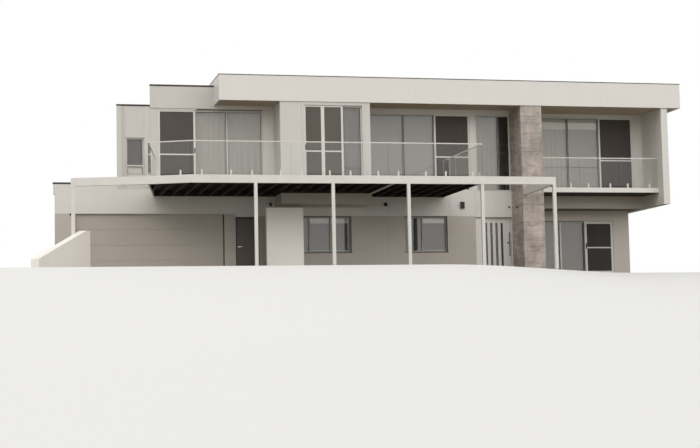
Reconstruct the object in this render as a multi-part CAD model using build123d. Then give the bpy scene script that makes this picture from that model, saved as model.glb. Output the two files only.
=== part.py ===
"""Two-storey beach house: flat roofs with deep fascias, a deck on a white steel frame, a garage."""
import os
from build123d import *

# Lengths are millimetres. In plan, X runs right along the front from the garage's outer corner and
# Y runs back from the face of the front wall. Z rises from the lowest ground. The finished model is
# then moved so that its origin is the bottom centre of the whole house.

# Heights, from the ground up. The upper storey's are measured from its own floor or its wall's top.
ground_floor_top = 120
garage_head = 2332
side_door_head = 2223
lower_window_sill = 920
lower_window_height = 1326
entry_head = 2210
lower_right_head = 2209
lower_wall_top = 2930
upper_floor_thickness = 265
upper_wall_height = 3075
left_wall_drop = 75
left_lintel_depth = 110
right_lintel_depth = 125
right_band_height = 585

# Walls in plan. The left side leans in by left_side_inset over the house's depth.
wall = 240
house_depth = 9200
garage_left = 0
left_side_inset = 1477
right_wall_y = 572
lower_right_wall_y = 1496
projection = 1232

# Garage and side door, from the left corner
garage_pier_width = 711
garage_opening_width = 5263
garage_door_thickness = 42
garage_door_setback = 110
garage_sections = 4
section_groove = 12
side_pier_width = 409
side_opening_width = 857

# Lower windows, in the wall that follows: plain stretches, widths, and mullions as shares of a width
wall_before_window_1 = 1400
window_1_width = 2006
window_1_mullions = [0.225, 0.62]
wall_between_windows = 2045
window_2_width = 1633
window_2_mullions = [0.28, 0.42]
wall_before_entry = 1116

# Entry
entry_width = 1460
entry_side_panel_width = 200
door_slot_count = 4
door_slot_width = 46
door_slot_pitch = 206
door_slot_top_margin = 170
door_slot_bottom_margin = 150
first_slot_offset = 190

# Pillar, then the right-hand rooms
pillar_width = 790
right_glazing_width = 3892
lower_right_pier_width = 668
fin_overhang = 265
fin_thickness = 253

# Upper storey's left rooms, from its own left corner
upper_left = 2170
left_window_offset = 314
left_window_width = 645
left_window_sill_height = 495
left_window_panel_height = 369
left_window_height = 1367
pier_before_left_doors = 511
left_doors_width = 3790
left_doors_mullions = [0.35, 0.655]
pier_before_bay = 416

# Bay box
bay_width = 3293
bay_wall = 200
bay_drop = 620
bay_opening_offset = 867
bay_opening_width = 2137
bay_mullions = [0.32, 0.665]
bay_lintel_depth = 130

# Upper openings right of the bay. The middle doors take what the others leave up to the pillar.
middle_doors_mullions = [0.385, 0.668]
middle_pier_width = 240
entry_window_width = 1358
entry_window_mullions = [0.66]
right_doors_mullions = [0.4, 0.685]
right_end_pier = 385

# Screen doors in front of the upper doors
screen_stile = 62
screen_mid_rail = 48
screen_leaf_thickness = 32
screen_mesh = 4
mid_rail_height = 1282

# Lower right glazing and its sliding door
right_glazing_mullions = [0.44, 0.69]
track_height = 22
sliding_leaf_width = 1180
sliding_stile = 90
sliding_bottom_rail = 110
sliding_mid_rail = 50

# Rear windows, the same on both storeys
rear_window_margin = 500
rear_window_pitch = 4570
rear_window_count = 4
rear_window_width = 1800
rear_window_mullions = [0.5]
lower_rear_sill = 1220
upper_rear_sill_height = 905
upper_rear_window_height = 1800

# Frames and glass
frame_depth = 90
frame_face = 55
frame_setback = 60
glass = 12
transom_height = 60

# Doors that open
leaf_thickness = 42
door_gap = 8
door_frame_face = 42
hinge_radius = 8
hinge_length = 45
hinge_gap = 0.5
hinge_count = 3
leaf_clearance = 6
running_gap = 0.3
handle_inset = 65
lever_height = 1150
pull_bottom = 760
pull_top = 1660
rose_radius = 26
rose_depth = 10
lever_neck_radius = 10
lever_reach = 60
lever_grip_length = 120
lever_grip_depth = 18
lever_grip_height = 20
pull_radius = 14
pull_reach = 50
pull_standoff_inset = 100
pull_standoff_radius = 9

# Main roof
main_roof_offset = 3490
roof_front_overhang = 1276
roof_rear_overhang = 500
roof_right_overhang = 532
fascia_height = 900
fascia_thickness = 90
cap_height = 25
cap_overhang = 15
soffit_thickness = 60
lining_thickness = 30
roof_deck_thickness = 60
roof_deck_drop = 220

# Mid roof, left roof and the garage's roof
mid_roof_offset = 1185
mid_band_lap = 57
mid_band_height = 792
band_proud = 25
garage_parapet_height = 187
side_band_drop = 165
side_band_thickness = 61
parapet_thickness = 150
low_cap_height = 60

# Deck
beam_height = 268
beam_width = 110
beam_y = -4576
beam_left_end = (396, -3320)
beam_first_bend = (2790, -3986)
beam_second_bend = (4200, -4576)
first_bend_relief = 16.5
second_bend_relief = 5.5
deck_board_thickness = 32
rim_width = 45
joist_width = 50
joist_height = 190
joist_pitch = 440
cross_beam_width = 100
side_beam_landing = 20
bracket_thickness = 12
bracket_width = 130
bracket_drop = 90

# Posts: evenly spaced, the last one close before the pillar. The deck ends at the last but one.
post_size = 110
first_post = 6335
last_post_gap = 77
post_count = 5
leg_offset = 15

# Balustrades
rail_above_floor = 1140
rail_height = 34
rail_width = 40
glass_lift = 60
panel_gap = 18
deck_panels = 6
spigot_size = 52
spigot_height = 165
spigot_inset = 345
slot_clearance = 0.3
balcony_panels = 3
return_panels = 3
rail_end_gap = 60

# Right balcony
balcony_front = -792
balcony_step = 70
balcony_thickness = 180

# Lights on the front wall and the pillar: their heights, and their distances from what they stand by
garage_light_offset = 167
garage_light_height = 2309
side_spot_offset = 187
side_spot_height = 2689
double_spot_offset = 823
double_spot_height = 2705
double_spot_turn = 50
entry_light_offset = 513
entry_light_height = 2544
pillar_side_light_offset = 124
pillar_side_light_height = 2603
pillar_light_height = 2543
round_light_radius = 38
round_light_depth = 45
round_light_rounding = 18
spot_radius = 34
spot_length = 120
spot_tilt = 35
spot_base_radius = 45
spot_base_depth = 18
spot_arm_length = 62
spot_lip = 6
spot_recess = 20
box_light_width = 150
box_light_height = 243
box_light_depth = 92
box_light_rim = 12
box_light_recess = 60

# Screen wall under the deck, and the wing wall beside the drive
screen_width = 1320
screen_top_gap = 165
screen_front = -1500
screen_thickness = 200
wing_thickness = 280
wing_high_end = (1020, -3094)
wing_low_end = (-729, -5679)
wing_high_top = 1466
wing_low_top = 386
wing_level_length = 240

# Levels that follow
lower_window_head = lower_window_sill + lower_window_height
upper_floor_top = lower_wall_top + upper_floor_thickness
upper_wall_top = upper_floor_top + upper_wall_height
left_wall_top = upper_wall_top - left_wall_drop
upper_head = left_wall_top - left_lintel_depth
upper_right_head = upper_wall_top - right_lintel_depth
overhang_bottom = upper_floor_top - right_band_height
left_window_sill = upper_floor_top + left_window_sill_height
left_window_head = left_window_sill + left_window_height
bay_bottom = upper_floor_top - bay_drop
bay_head = upper_wall_top - bay_lintel_depth
upper_rear_sill = upper_floor_top + upper_rear_sill_height
upper_rear_head = upper_rear_sill + upper_rear_window_height
mid_band_bottom = left_wall_top - mid_band_lap
mid_band_top = mid_band_bottom + mid_band_height
garage_parapet_top = upper_floor_top + garage_parapet_height
side_band_bottom = upper_floor_top - side_band_drop
balcony_top = upper_floor_top + balcony_step
screen_top = bay_bottom - screen_top_gap
beam_bottom = upper_floor_top - beam_height
fascia_top = upper_wall_top + fascia_height
inner_depth = house_depth - wall

# Along the lower front, from left to right
garage_opening_left = garage_left + garage_pier_width
garage_opening_right = garage_opening_left + garage_opening_width
side_opening_left = garage_opening_right + side_pier_width
side_opening_right = side_opening_left + side_opening_width
window_1_left = side_opening_right + wall_before_window_1
window_2_left = window_1_left + window_1_width + wall_between_windows
entry_left = window_2_left + window_2_width + wall_before_entry
pillar_left = entry_left + entry_width
pillar_right = pillar_left + pillar_width
step_left = pillar_right - wall
glazing_right = pillar_right + right_glazing_width
lower_right = glazing_right + lower_right_pier_width
fin_left = lower_right + fin_overhang
fin_right = fin_left + fin_thickness

# Along the upper front, from left to right
mid_roof_left = upper_left + mid_roof_offset
main_roof_left = upper_left + main_roof_offset
left_window_left = upper_left + left_window_offset
left_doors_left = left_window_left + left_window_width + pier_before_left_doors
left_doors_right = left_doors_left + left_doors_width
bay_left = left_doors_right + pier_before_bay
bay_right = bay_left + bay_width
bay_opening_left = bay_left + bay_opening_offset
bay_opening_right = bay_opening_left + bay_opening_width
middle_pier_right = pillar_left - entry_window_width
middle_doors_right = middle_pier_right - middle_pier_width
right_doors_right = fin_left - right_end_pier
roof_right = fin_right + roof_right_overhang

# Posts and deck
last_post = pillar_left - last_post_gap
post_pitch = (last_post - first_post) / (post_count - 1)
beam_right_end = last_post + post_size / 2
deck_right = last_post - post_pitch + post_size / 2


def block(x0, x1, y0, y1, z0, z1):
    """A solid box between two corners."""
    return Pos((x0 + x1) / 2, (y0 + y1) / 2, (z0 + z1) / 2) * Box(x1 - x0, y1 - y0, z1 - z0)


def slab(points, z0, z1):
    """A flat plate with the outline of the given plan points."""
    outline = make_face(Polyline(*points, close=True))
    return extrude(Pos(0, 0, z0) * outline, z1 - z0)


def lean(y):
    """How far the left side has come in at a distance behind the front wall."""
    return left_side_inset * y / house_depth


def plan(x0, x1, y0, y1, left_leans=True, right_leans=False):
    """Plan points of a four-sided area whose left or right edge follows the lean of the left side."""
    left = [x0 + lean(y) * left_leans for y in (y0, y1)]
    right = [x1 + lean(y) * right_leans for y in (y0, y1)]
    return [(left[0], y0), (right[0], y0), (right[1], y1), (left[1], y1)]


def leaning(x0, x1, y0, y1, z0, z1, right_leans=False):
    """A block whose left face, or both side faces, follow the lean of the left side."""
    return slab(plan(x0, x1, y0, y1, True, right_leans), z0, z1)


def infill(points, z0, z1, thickness):
    """A plate that fills the space inside walls of a thickness round a plan outline."""
    outline = make_face(Polyline(*points, close=True))
    return extrude(Pos(0, 0, z0) * offset(outline, -thickness, kind=Kind.INTERSECTION), z1 - z0)


def ring(points, z0, z1, thickness):
    """Walls round a plan outline, open above and below."""
    return slab(points, z0, z1) - infill(points, z0 - 1, z1 + 1, thickness)


def glazing(x0, width, z0, z1, y_face, mullions=(), transoms=()):
    """A window frame and its panes. Transoms are (lite number, height above the sill)."""
    x1 = x0 + width
    y0 = y_face + frame_setback
    y1 = y0 + frame_depth
    frame = block(x0, x1, y0, y1, z0, z1)
    edges = [x0 + frame_face]
    for share in mullions:
        centre = x0 + share * width
        edges += [centre - frame_face / 2, centre + frame_face / 2]
    edges.append(x1 - frame_face)
    middle = (y0 + y1) / 2
    panes = []
    for number in range(len(edges) // 2):
        left = edges[2 * number]
        right = edges[2 * number + 1]
        levels = [z0 + frame_face]
        for lite, height in transoms:
            if lite == number:
                levels += [z0 + height - transom_height / 2, z0 + height + transom_height / 2]
        levels.append(z1 - frame_face)
        for row in range(len(levels) // 2):
            low = levels[2 * row]
            high = levels[2 * row + 1]
            frame -= block(left, right, y0 - 1, y1 + 1, low, high)
            panes.append(block(left, right, middle - glass / 2, middle + glass / 2, low, high))
    return frame, panes


def hinges(x, y, z0, z1, plate_to_frame, plate_to_leaf):
    """Pin hinges on a vertical axis: the frame's knuckles and the leaf's knuckles."""
    fixed = []
    moving = []
    pitch = (z1 - z0) / (hinge_count + 1)
    for number in range(hinge_count):
        z = z0 + pitch * (number + 1)
        barrel = Cylinder(hinge_radius, hinge_length)
        moving.append(Pos(x, y, z) * barrel)
        moving.append(plate(x, y, z, plate_to_leaf))
        z_up = z + hinge_length + hinge_gap
        fixed.append(Pos(x, y, z_up) * barrel)
        fixed.append(plate(x, y, z_up, plate_to_frame))
    return fixed, moving


def plate(x, y, z, corner):
    """The flat leaf of a hinge, from its knuckle's axis to a corner in plan."""
    x0, x1 = sorted((x, corner[0]))
    y0, y1 = sorted((y, corner[1]))
    return block(x0, x1, y0, y1, z - hinge_length / 2, z + hinge_length / 2)


def garage_door():
    """A sectional door: wide panels with shallow grooves between them."""
    x0 = garage_opening_left
    x1 = x0 + garage_opening_width
    y0 = garage_door_setback
    door = block(x0, x1, y0, y0 + garage_door_thickness, ground_floor_top, garage_head)
    section = (garage_head - ground_floor_top) / garage_sections
    for number in range(1, garage_sections):
        z = ground_floor_top + number * section
        half = section_groove / 2
        door -= block(x0, x1, y0 - 1, y0 + section_groove, z - half, z + half)
    return door


def hinged_door(x0, x1, z1, hinge_side):
    """The frame and leaf of a door that opens inwards, hinged at its left or right."""
    y0 = frame_setback
    y1 = y0 + frame_depth
    z0 = ground_floor_top
    frame = block(x0, x1, y0, y1, z0, z1)
    face = door_frame_face
    frame -= block(x0 + face, x1 - face, y0 - 1, y1 + 1, z0 - 1, z1 - face)
    left = x0 + door_frame_face + door_gap
    right = x1 - door_frame_face - door_gap
    top = z1 - door_frame_face - door_gap
    leaf = block(left, right, y1 - leaf_thickness, y1, z0 + door_gap, top)
    pivot_y = y1 + hinge_radius
    if hinge_side == "left":
        pivot_x = left - door_gap / 2
        to_frame = (x0 + door_frame_face - door_gap, y1)
        to_leaf = (left + hinge_length, y1)
    else:
        pivot_x = right + door_gap / 2
        to_frame = (x1 - door_frame_face + door_gap, y1)
        to_leaf = (right - hinge_length, y1)
    fixed, moving = hinges(pivot_x, pivot_y, z0, z1, to_frame, to_leaf)
    for piece in fixed:
        frame += piece
    for piece in moving:
        leaf += piece
    return frame, leaf, (pivot_x, pivot_y, z0), (left, right, y1 - leaf_thickness, top)


def lever(x, y_front, z, direction):
    """A lever handle on a rose, standing out of a leaf's outer face."""
    rose = Pos(x, y_front - rose_depth / 2, z) * Rot(90, 0, 0) * Cylinder(rose_radius, rose_depth)
    neck_length = lever_reach - rose_depth
    neck_middle = y_front - rose_depth - neck_length / 2
    neck = Pos(x, neck_middle, z) * Rot(90, 0, 0) * Cylinder(lever_neck_radius, neck_length)
    left, right = sorted((x - direction * lever_neck_radius, x + direction * lever_grip_length))
    grip_front = y_front - lever_reach
    half = lever_grip_height / 2
    grip = block(left, right, grip_front, grip_front + lever_grip_depth, z - half, z + half)
    return rose + neck + grip


def pull_handle(x, y_front, z0, z1):
    """A long upright pull on two standoffs."""
    bar = Pos(x, y_front - pull_reach, (z0 + z1) / 2) * Cylinder(pull_radius, z1 - z0)
    for z in (z0 + pull_standoff_inset, z1 - pull_standoff_inset):
        standoff = Rot(90, 0, 0) * Cylinder(pull_standoff_radius, pull_reach)
        bar += Pos(x, y_front - pull_reach / 2, z) * standoff
    return bar


def beam_path():
    """The plan line of the deck's front beam: its left part bends back to the wing wall."""
    return Polyline(beam_left_end, beam_first_bend, beam_second_bend, (beam_right_end, beam_y))


def front_beam():
    """The deck's front beam, mitred at its bends."""
    outline = trace(beam_path(), beam_width)
    return extrude(Pos(0, 0, beam_bottom) * outline, beam_height)


def deck_outline(inset=0):
    """The deck's plan outline, behind the front beam and in front of the wall and bay."""
    half = beam_width / 2
    front_left = beam_first_bend[0] + half
    return [
        (front_left - lean(beam_first_bend[1]) + inset - half, 0),
        (front_left + inset, beam_first_bend[1] + half + first_bend_relief),
        (beam_second_bend[0], beam_second_bend[1] + half + second_bend_relief),
        (deck_right, beam_y + half),
        (deck_right, 0),
    ]


def deck():
    """The deck's platform, its joists, the white board on its left edge and its white cross beam."""
    board_top = upper_floor_top
    board_bottom = board_top - deck_board_thickness
    joist_bottom = board_bottom - joist_height
    bay_clear = block(bay_left, bay_right, -projection, 1, bay_bottom, upper_floor_top + 1)
    inner = deck_outline(rim_width)
    platform = slab(inner, board_bottom, board_top) - bay_clear
    region = slab(inner, joist_bottom, board_bottom) - bay_clear
    outer = deck_outline()
    rim = slab([outer[0], outer[1], inner[1], inner[0]], joist_bottom, board_top)
    cross_left = bay_right - cross_beam_width
    cross = block(cross_left, bay_right, beam_y + beam_width / 2, -projection, beam_bottom, board_bottom)
    joists = []
    x = deck_right - joist_width
    while x > inner[1][0]:
        strip = block(x, x + joist_width, beam_y, 0, joist_bottom, board_bottom)
        joist = (region & strip) - cross
        joists += joist.solids()
        x -= joist_pitch
    return platform, joists, [rim, cross]


def balustrade(points, floor, panels):
    """Frameless glass along plan points: panels, spigots with slots, and one mitred capping rail.

    The panels are counted for each run between two points.
    """
    glass_top = rail_above_floor - rail_height / 2
    slot = glass / 2 + slot_clearance
    half = spigot_size / 2
    sheets = []
    spigots = []
    for start, end, count in zip(points, points[1:], panels):
        direction = Vector(end[0] - start[0], end[1] - start[1], 0)
        origin = (start[0], start[1], floor)
        place = Plane(origin=origin, x_dir=direction.normalized(), z_dir=(0, 0, 1)).location
        width = direction.length / count
        for number in range(count):
            x0 = number * width + panel_gap / 2
            x1 = (number + 1) * width - panel_gap / 2
            sheets.append(place * block(x0, x1, -glass / 2, glass / 2, glass_lift, glass_top))
            for x in (x0 + spigot_inset, x1 - spigot_inset):
                spigot = block(x - half, x + half, -half, half, 0, spigot_height)
                spigot -= block(x - half - 1, x + half + 1, -slot, slot, glass_lift, spigot_height + 1)
                spigots.append(place * spigot)
    path = Polyline(*points)
    rail = extrude(Pos(0, 0, glass_top - rail_height / 2) * trace(path, rail_width), rail_height)
    rail -= extrude(Pos(0, 0, glass_top - rail_height) * trace(path, 2 * slot), rail_height)
    return sheets, spigots, rail.moved(Location((0, 0, floor)))


def sliding_door():
    """The ground-floor sliding leaf with its mid rail and panes, in front of the fixed lites."""
    x1 = glazing_right - leaf_clearance
    x0 = x1 - sliding_leaf_width
    y1 = lower_right_wall_y + frame_setback - leaf_clearance
    y0 = y1 - leaf_thickness
    z0 = ground_floor_top + track_height + running_gap
    z1 = lower_right_head - track_height
    rail_z = (z0 + z1) / 2
    leaf = block(x0, x1, y0, y1, z0, z1)
    middle = (y0 + y1) / 2
    sheet = block(x0, x1, middle - glass / 4, middle + glass / 4, z0, z1)
    left = x0 + sliding_stile
    right = x1 - sliding_stile
    low = block(left, right, y0 - 1, y1 + 1, z0 + sliding_bottom_rail, rail_z - sliding_mid_rail / 2)
    high = block(left, right, y0 - 1, y1 + 1, rail_z + sliding_mid_rail / 2, z1 - sliding_stile)
    return leaf - low - high, sheet & (low + high)


def floors():
    """The ground slab inside the walls, the upper floor, and the soffit under its right overhang."""
    ground = leaning(garage_left + wall, lower_right - wall, wall, inner_depth, 0, ground_floor_top)
    ground -= block(step_left, lower_right, 0, lower_right_wall_y + wall, -1, ground_floor_top + 1)
    for left, right, face in doorways():
        ground += block(left, right, face, face + wall, 0, ground_floor_top)
    upper = leaning(garage_left, fin_left, 0, house_depth, lower_wall_top, upper_floor_top)
    upper -= block(step_left, fin_left, -1, right_wall_y + wall, lower_wall_top - 1, upper_floor_top + 1)
    upper -= step_wall()
    soffit_top = overhang_bottom + lining_thickness
    low = overhang_bottom
    soffit = block(pillar_right, fin_left, right_wall_y + wall, lower_right_wall_y, low, soffit_top)
    soffit += block(lower_right, fin_left, lower_right_wall_y, house_depth, low, soffit_top)
    return {"ground_floor": ground, "upper_floor": upper, "right_soffit": soffit}


def doorways():
    """The lower openings that reach the floor: left edge, right edge and the face of their wall."""
    return [
        (garage_opening_left, garage_opening_right, 0),
        (side_opening_left, side_opening_right, 0),
        (entry_left, pillar_left, 0),
        (pillar_right, glazing_right, lower_right_wall_y),
    ]


def step_wall():
    """The wall behind the pillar, where the front steps back to the right-hand rooms."""
    step = block(pillar_left, pillar_right, 0, wall, 0, upper_wall_top)
    step += block(step_left, pillar_right, wall, lower_right_wall_y + wall, 0, lower_wall_top)
    return step + block(step_left, pillar_right, wall, right_wall_y + wall, lower_wall_top, upper_wall_top)


def lower_walls():
    """The lower storey's walls, split beside and over the doorways that open."""
    top = lower_wall_top
    y0 = lower_right_wall_y
    front = block(side_opening_right, entry_left, 0, wall, 0, top)
    for left, width in ((window_1_left, window_1_width), (window_2_left, window_2_width)):
        front -= block(left, left + width, -1, wall + 1, lower_window_sill, lower_window_head)
    piers = [
        leaning(garage_left, garage_opening_left, 0, wall, 0, top),
        block(garage_opening_right, side_opening_left, 0, wall, 0, top),
        block(glazing_right, lower_right, y0, y0 + wall, 0, lower_right_head),
    ]
    lintels = [
        block(garage_opening_left, garage_opening_right, 0, wall, garage_head, top),
        block(side_opening_left, side_opening_right, 0, wall, side_door_head, top),
        block(entry_left, pillar_left, 0, wall, entry_head, top),
        block(pillar_right, lower_right, y0, y0 + wall, lower_right_head, top),
    ]
    sides = [
        leaning(garage_left, garage_left + wall, wall, house_depth, 0, top, True),
        block(lower_right - wall, lower_right, y0 + wall, house_depth, 0, top),
    ]
    rear = leaning(garage_left + wall, lower_right - wall, inner_depth, house_depth, 0, top)
    for left in rear_window_lefts():
        right = left + rear_window_width
        rear -= block(left, right, inner_depth - 1, house_depth + 1, lower_rear_sill, lower_window_head)
    return {
        "lower_front_wall": front,
        "front_piers": Compound(piers),
        "front_lintels": Compound(lintels),
        "lower_side_walls": Compound(sides),
        "step_wall": step_wall(),
        "lower_rear_wall": rear,
    }


def doors():
    """The garage door, the side door, the entry door and the sliding door, each in its frame."""
    pieces = {"garage_door": garage_door()}
    frame, leaf, side_pivot, edges = hinged_door(side_opening_left, side_opening_right, side_door_head,
                                                 "right")
    pieces["side_door_frame"] = frame
    pieces["side_door"] = leaf + lever(edges[0] + handle_inset, edges[2], lever_height, 1)
    panel_right = entry_left + entry_side_panel_width
    frame, leaf, front_pivot, edges = hinged_door(panel_right, pillar_left, entry_head, "left")
    frame += block(entry_left, panel_right, frame_setback, frame_setback + frame_depth, ground_floor_top,
                   entry_head)
    panes = []
    half = door_slot_width / 2
    middle = edges[2] + leaf_thickness / 2
    for number in range(door_slot_count):
        x = edges[0] + first_slot_offset + number * door_slot_pitch
        low = ground_floor_top + door_slot_bottom_margin
        high = edges[3] - door_slot_top_margin
        leaf -= block(x - half, x + half, edges[2] - 1, edges[2] + leaf_thickness + 1, low, high)
        panes.append(block(x - half, x + half, middle - glass / 2, middle + glass / 2, low, high))
    pieces["front_door_frame"] = frame
    pieces["front_door"] = leaf
    pieces["front_door_glass"] = Compound(panes)
    pieces["front_door_handle"] = pull_handle(edges[1] - handle_inset, edges[2], pull_bottom, pull_top)
    leaf, panes = sliding_door()
    pieces["sliding_door"] = leaf
    pieces["sliding_door_glass"] = Compound(panes.solids())
    return pieces, {"side_door": side_pivot, "front_door": front_pivot}


def lower_glazing():
    """The lower windows, and the fixed lites with the sill track beside the sliding door."""
    frames = []
    panes = []
    for left, width, mullions in (
        (window_1_left, window_1_width, window_1_mullions),
        (window_2_left, window_2_width, window_2_mullions),
    ):
        frame, lites = glazing(left, width, lower_window_sill, lower_window_head, 0, mullions)
        frames.append(frame)
        panes += lites
    y0 = lower_right_wall_y
    frame, lites = glazing(pillar_right, right_glazing_width, ground_floor_top, lower_right_head, y0,
                           right_glazing_mullions)
    frame += block(pillar_right, glazing_right, y0 + frame_setback - leaf_clearance - leaf_thickness,
                   y0 + frame_setback, ground_floor_top, ground_floor_top + track_height)
    return {
        "lower_window_frames": Compound(frames),
        "lower_right_frame": frame,
        "lower_glass": Compound(panes + lites),
    }


def left_lintel():
    """The lintel over the left doors, which steps up under the main roof."""
    lintel = block(left_doors_left, main_roof_left, 0, wall, upper_head, left_wall_top)
    return lintel + block(main_roof_left, left_doors_right, 0, wall, upper_head, upper_wall_top)


def upper_walls():
    """The upper storey's walls: piers between the openings, lintels over them, and the right fin."""
    u0 = upper_floor_top
    u1 = upper_wall_top
    left_front = leaning(upper_left, left_doors_left, 0, wall, u0, left_wall_top)
    left_front -= block(left_window_left, left_window_left + left_window_width, -1, wall + 1,
                        left_window_sill, left_window_head)
    y1 = right_wall_y
    piers = [
        block(left_doors_right, bay_left + bay_wall, 0, wall, u0, u1),
        block(middle_doors_right, middle_pier_right, 0, wall, u0, upper_head),
        block(right_doors_right, fin_left, y1, y1 + wall, u0, upper_right_head),
    ]
    lintels = [
        left_lintel(),
        block(bay_right - bay_wall, pillar_left, 0, wall, upper_head, u1),
        block(pillar_right, fin_left, y1, y1 + wall, upper_right_head, u1),
    ]
    rear = leaning(upper_left + wall, main_roof_left, inner_depth, house_depth, u0, left_wall_top)
    rear += block(main_roof_left, fin_left, inner_depth, house_depth, u0, u1)
    for left in rear_window_lefts():
        right = left + rear_window_width
        rear -= block(left, right, inner_depth - 1, house_depth + 1, upper_rear_sill, upper_rear_head)
    return {
        "upper_left_front": left_front,
        "upper_left_side": leaning(upper_left, upper_left + wall, wall, house_depth, u0, left_wall_top,
                                   True),
        "upper_piers": Compound(piers),
        "upper_lintels": Compound(lintels),
        "right_band": block(pillar_right, fin_left, y1, y1 + wall, overhang_bottom, u0),
        "right_fin_wall": block(fin_left, fin_right, -projection, house_depth, overhang_bottom, u1),
        "upper_rear_wall": rear,
        "pillar": block(pillar_left, pillar_right, -projection, 0, 0, u1),
    }


def bay():
    """The bay box: its sides and floor in one piece, and its front with the door opening."""
    inner_front = bay_wall - projection
    shell = block(bay_left, bay_right, inner_front, 0, bay_bottom, upper_wall_top)
    shell -= block(bay_left + bay_wall, bay_right - bay_wall, inner_front - 1, 1, upper_floor_top,
                   upper_wall_top + 1)
    front = block(bay_left, bay_right, -projection, inner_front, bay_bottom, upper_wall_top)
    front -= block(bay_opening_left, bay_opening_right, -projection - 1, inner_front + 1, upper_floor_top,
                   bay_head)
    return {"bay_shell": shell, "bay_front": front}


def upper_glazing():
    """The upper windows and glazed doors, from the left window to the right balcony's doors."""
    u0 = upper_floor_top
    rows = [
        (left_window_left, left_window_left + left_window_width, left_window_sill, left_window_head, 0, [],
         [(0, left_window_panel_height)]),
        (left_doors_left, left_doors_right, u0, upper_head, 0, left_doors_mullions, []),
        (bay_right, middle_doors_right, u0, upper_head, 0, middle_doors_mullions, []),
        (middle_pier_right, pillar_left, u0, upper_head, 0, entry_window_mullions, []),
        (pillar_right, right_doors_right, u0, upper_right_head, right_wall_y, right_doors_mullions, []),
    ]
    frames = []
    panes = []
    for left, right, low, high, face, mullions, transoms in rows:
        frame, lites = glazing(left, right - left, low, high, face, mullions, transoms)
        frames.append(frame)
        panes += lites
    bay_frame, lites = glazing(bay_opening_left, bay_opening_width, u0, bay_head, -projection,
                               bay_mullions)
    return {
        "upper_frames": Compound(frames),
        "bay_door_frame": bay_frame,
        "upper_glass": Compound(panes + lites),
    }


def screen_doors():
    """The mesh doors in front of the upper doors: a frame with a mid rail, and two sheets of mesh."""
    rows = [
        (left_doors_left, left_doors_right, upper_head, 0, left_doors_mullions, [0]),
        (bay_opening_left, bay_opening_right, bay_head, -projection, bay_mullions, [0, 1]),
        (bay_right, middle_doors_right, upper_head, 0, middle_doors_mullions, [2]),
        (pillar_right, right_doors_right, upper_right_head, right_wall_y, right_doors_mullions, [2]),
    ]
    leaves = []
    sheets = []
    for left, right, head, face, mullions, lites in rows:
        edges = [left] + [left + share * (right - left) for share in mullions] + [right]
        y1 = face + frame_setback
        y0 = y1 - screen_leaf_thickness
        middle = (y0 + y1) / 2
        for lite in lites:
            leaf = block(edges[lite], edges[lite + 1], y0, y1, upper_floor_top, head)
            x0 = edges[lite] + screen_stile
            x1 = edges[lite + 1] - screen_stile
            rail_bottom = upper_floor_top + mid_rail_height - screen_mid_rail / 2
            rail_top = rail_bottom + screen_mid_rail
            for low, high in (
                (upper_floor_top + screen_stile, rail_bottom),
                (rail_top, head - screen_stile),
            ):
                leaf -= block(x0, x1, y0 - 1, y1 + 1, low, high)
                sheets.append(block(x0, x1, middle - screen_mesh / 2, middle + screen_mesh / 2, low,
                                    high))
            leaves.append(leaf)
    return {"screen_doors": Compound(leaves), "screen_door_mesh": Compound(sheets)}


def rear_window_lefts():
    """The left edges of the rear windows, the same on both storeys."""
    first = upper_left + wall + lean(house_depth) + rear_window_margin
    return [first + number * rear_window_pitch for number in range(rear_window_count)]


def rear_glazing():
    """The rear windows: one size of window on each storey, repeated along the wall."""
    face = house_depth - frame_depth - 2 * frame_setback
    frames = []
    panes = []
    for left in rear_window_lefts():
        for sill, head in ((lower_rear_sill, lower_window_head), (upper_rear_sill, upper_rear_head)):
            frame, lites = glazing(left, rear_window_width, sill, head, face, rear_window_mullions)
            frames.append(frame)
            panes += lites
    return {"rear_frames": Compound(frames), "rear_glass": Compound(panes)}


def roofs():
    """The main roof with its deep fascia, the two lower roofs and the garage's parapet."""
    edge = (main_roof_left, roof_right, -roof_front_overhang, house_depth + roof_rear_overhang)
    inside = grown(edge, -fascia_thickness)
    deck_top = fascia_top - roof_deck_drop
    mid = plan(mid_roof_left, main_roof_left, -band_proud, house_depth)
    mid_roof = ring(mid, mid_band_bottom, mid_band_top, parapet_thickness)
    mid_roof -= leaning(upper_left, main_roof_left, 0, house_depth, mid_band_bottom, left_wall_top)
    mid_roof += leaning(mid_roof_left, main_roof_left, 0, house_depth, left_wall_top,
                        left_wall_top + soffit_thickness)
    return {
        "roof_fascia": ring(corners(edge), upper_wall_top, fascia_top, fascia_thickness),
        "roof_cap": roof_caps(edge),
        "roof_soffit": block(*inside, upper_wall_top, upper_wall_top + soffit_thickness),
        "roof_deck": block(*inside, deck_top - roof_deck_thickness, deck_top),
        "mid_roof": mid_roof,
        "left_roof": left_roof(),
        "garage_parapet": garage_parapet(),
    }


def roof_caps(edge):
    """Folded metal caps along the top edges of all four roofs."""
    out = cap_overhang
    rear = house_depth + out
    main = ring(corners(grown(edge, out)), fascia_top, fascia_top + cap_height, fascia_thickness + 2 * out)
    mid = plan(mid_roof_left - out, main_roof_left, -band_proud - out, rear)
    garage = plan(garage_left - side_band_thickness - out, upper_left, -out, rear, True, True)
    width = parapet_thickness + 2 * out
    low = [
        ring(mid, mid_band_top, mid_band_top + low_cap_height, width),
        ring(left_roof_plan(), left_wall_top, left_wall_top + low_cap_height, width) - mid_band_space(),
        ring(garage, garage_parapet_top, garage_parapet_top + low_cap_height, width),
    ]
    return Compound([main] + low)


def mid_band_space():
    """The space of the mid roof's band, which the left roof's cap stops at."""
    return leaning(mid_roof_left, main_roof_left, -band_proud, house_depth, mid_band_bottom, mid_band_top)


def left_roof_plan():
    """The left roof's outline at the outside of its cap."""
    out = cap_overhang
    return plan(upper_left - out, mid_roof_left, -out, house_depth + out, True, True)


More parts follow.
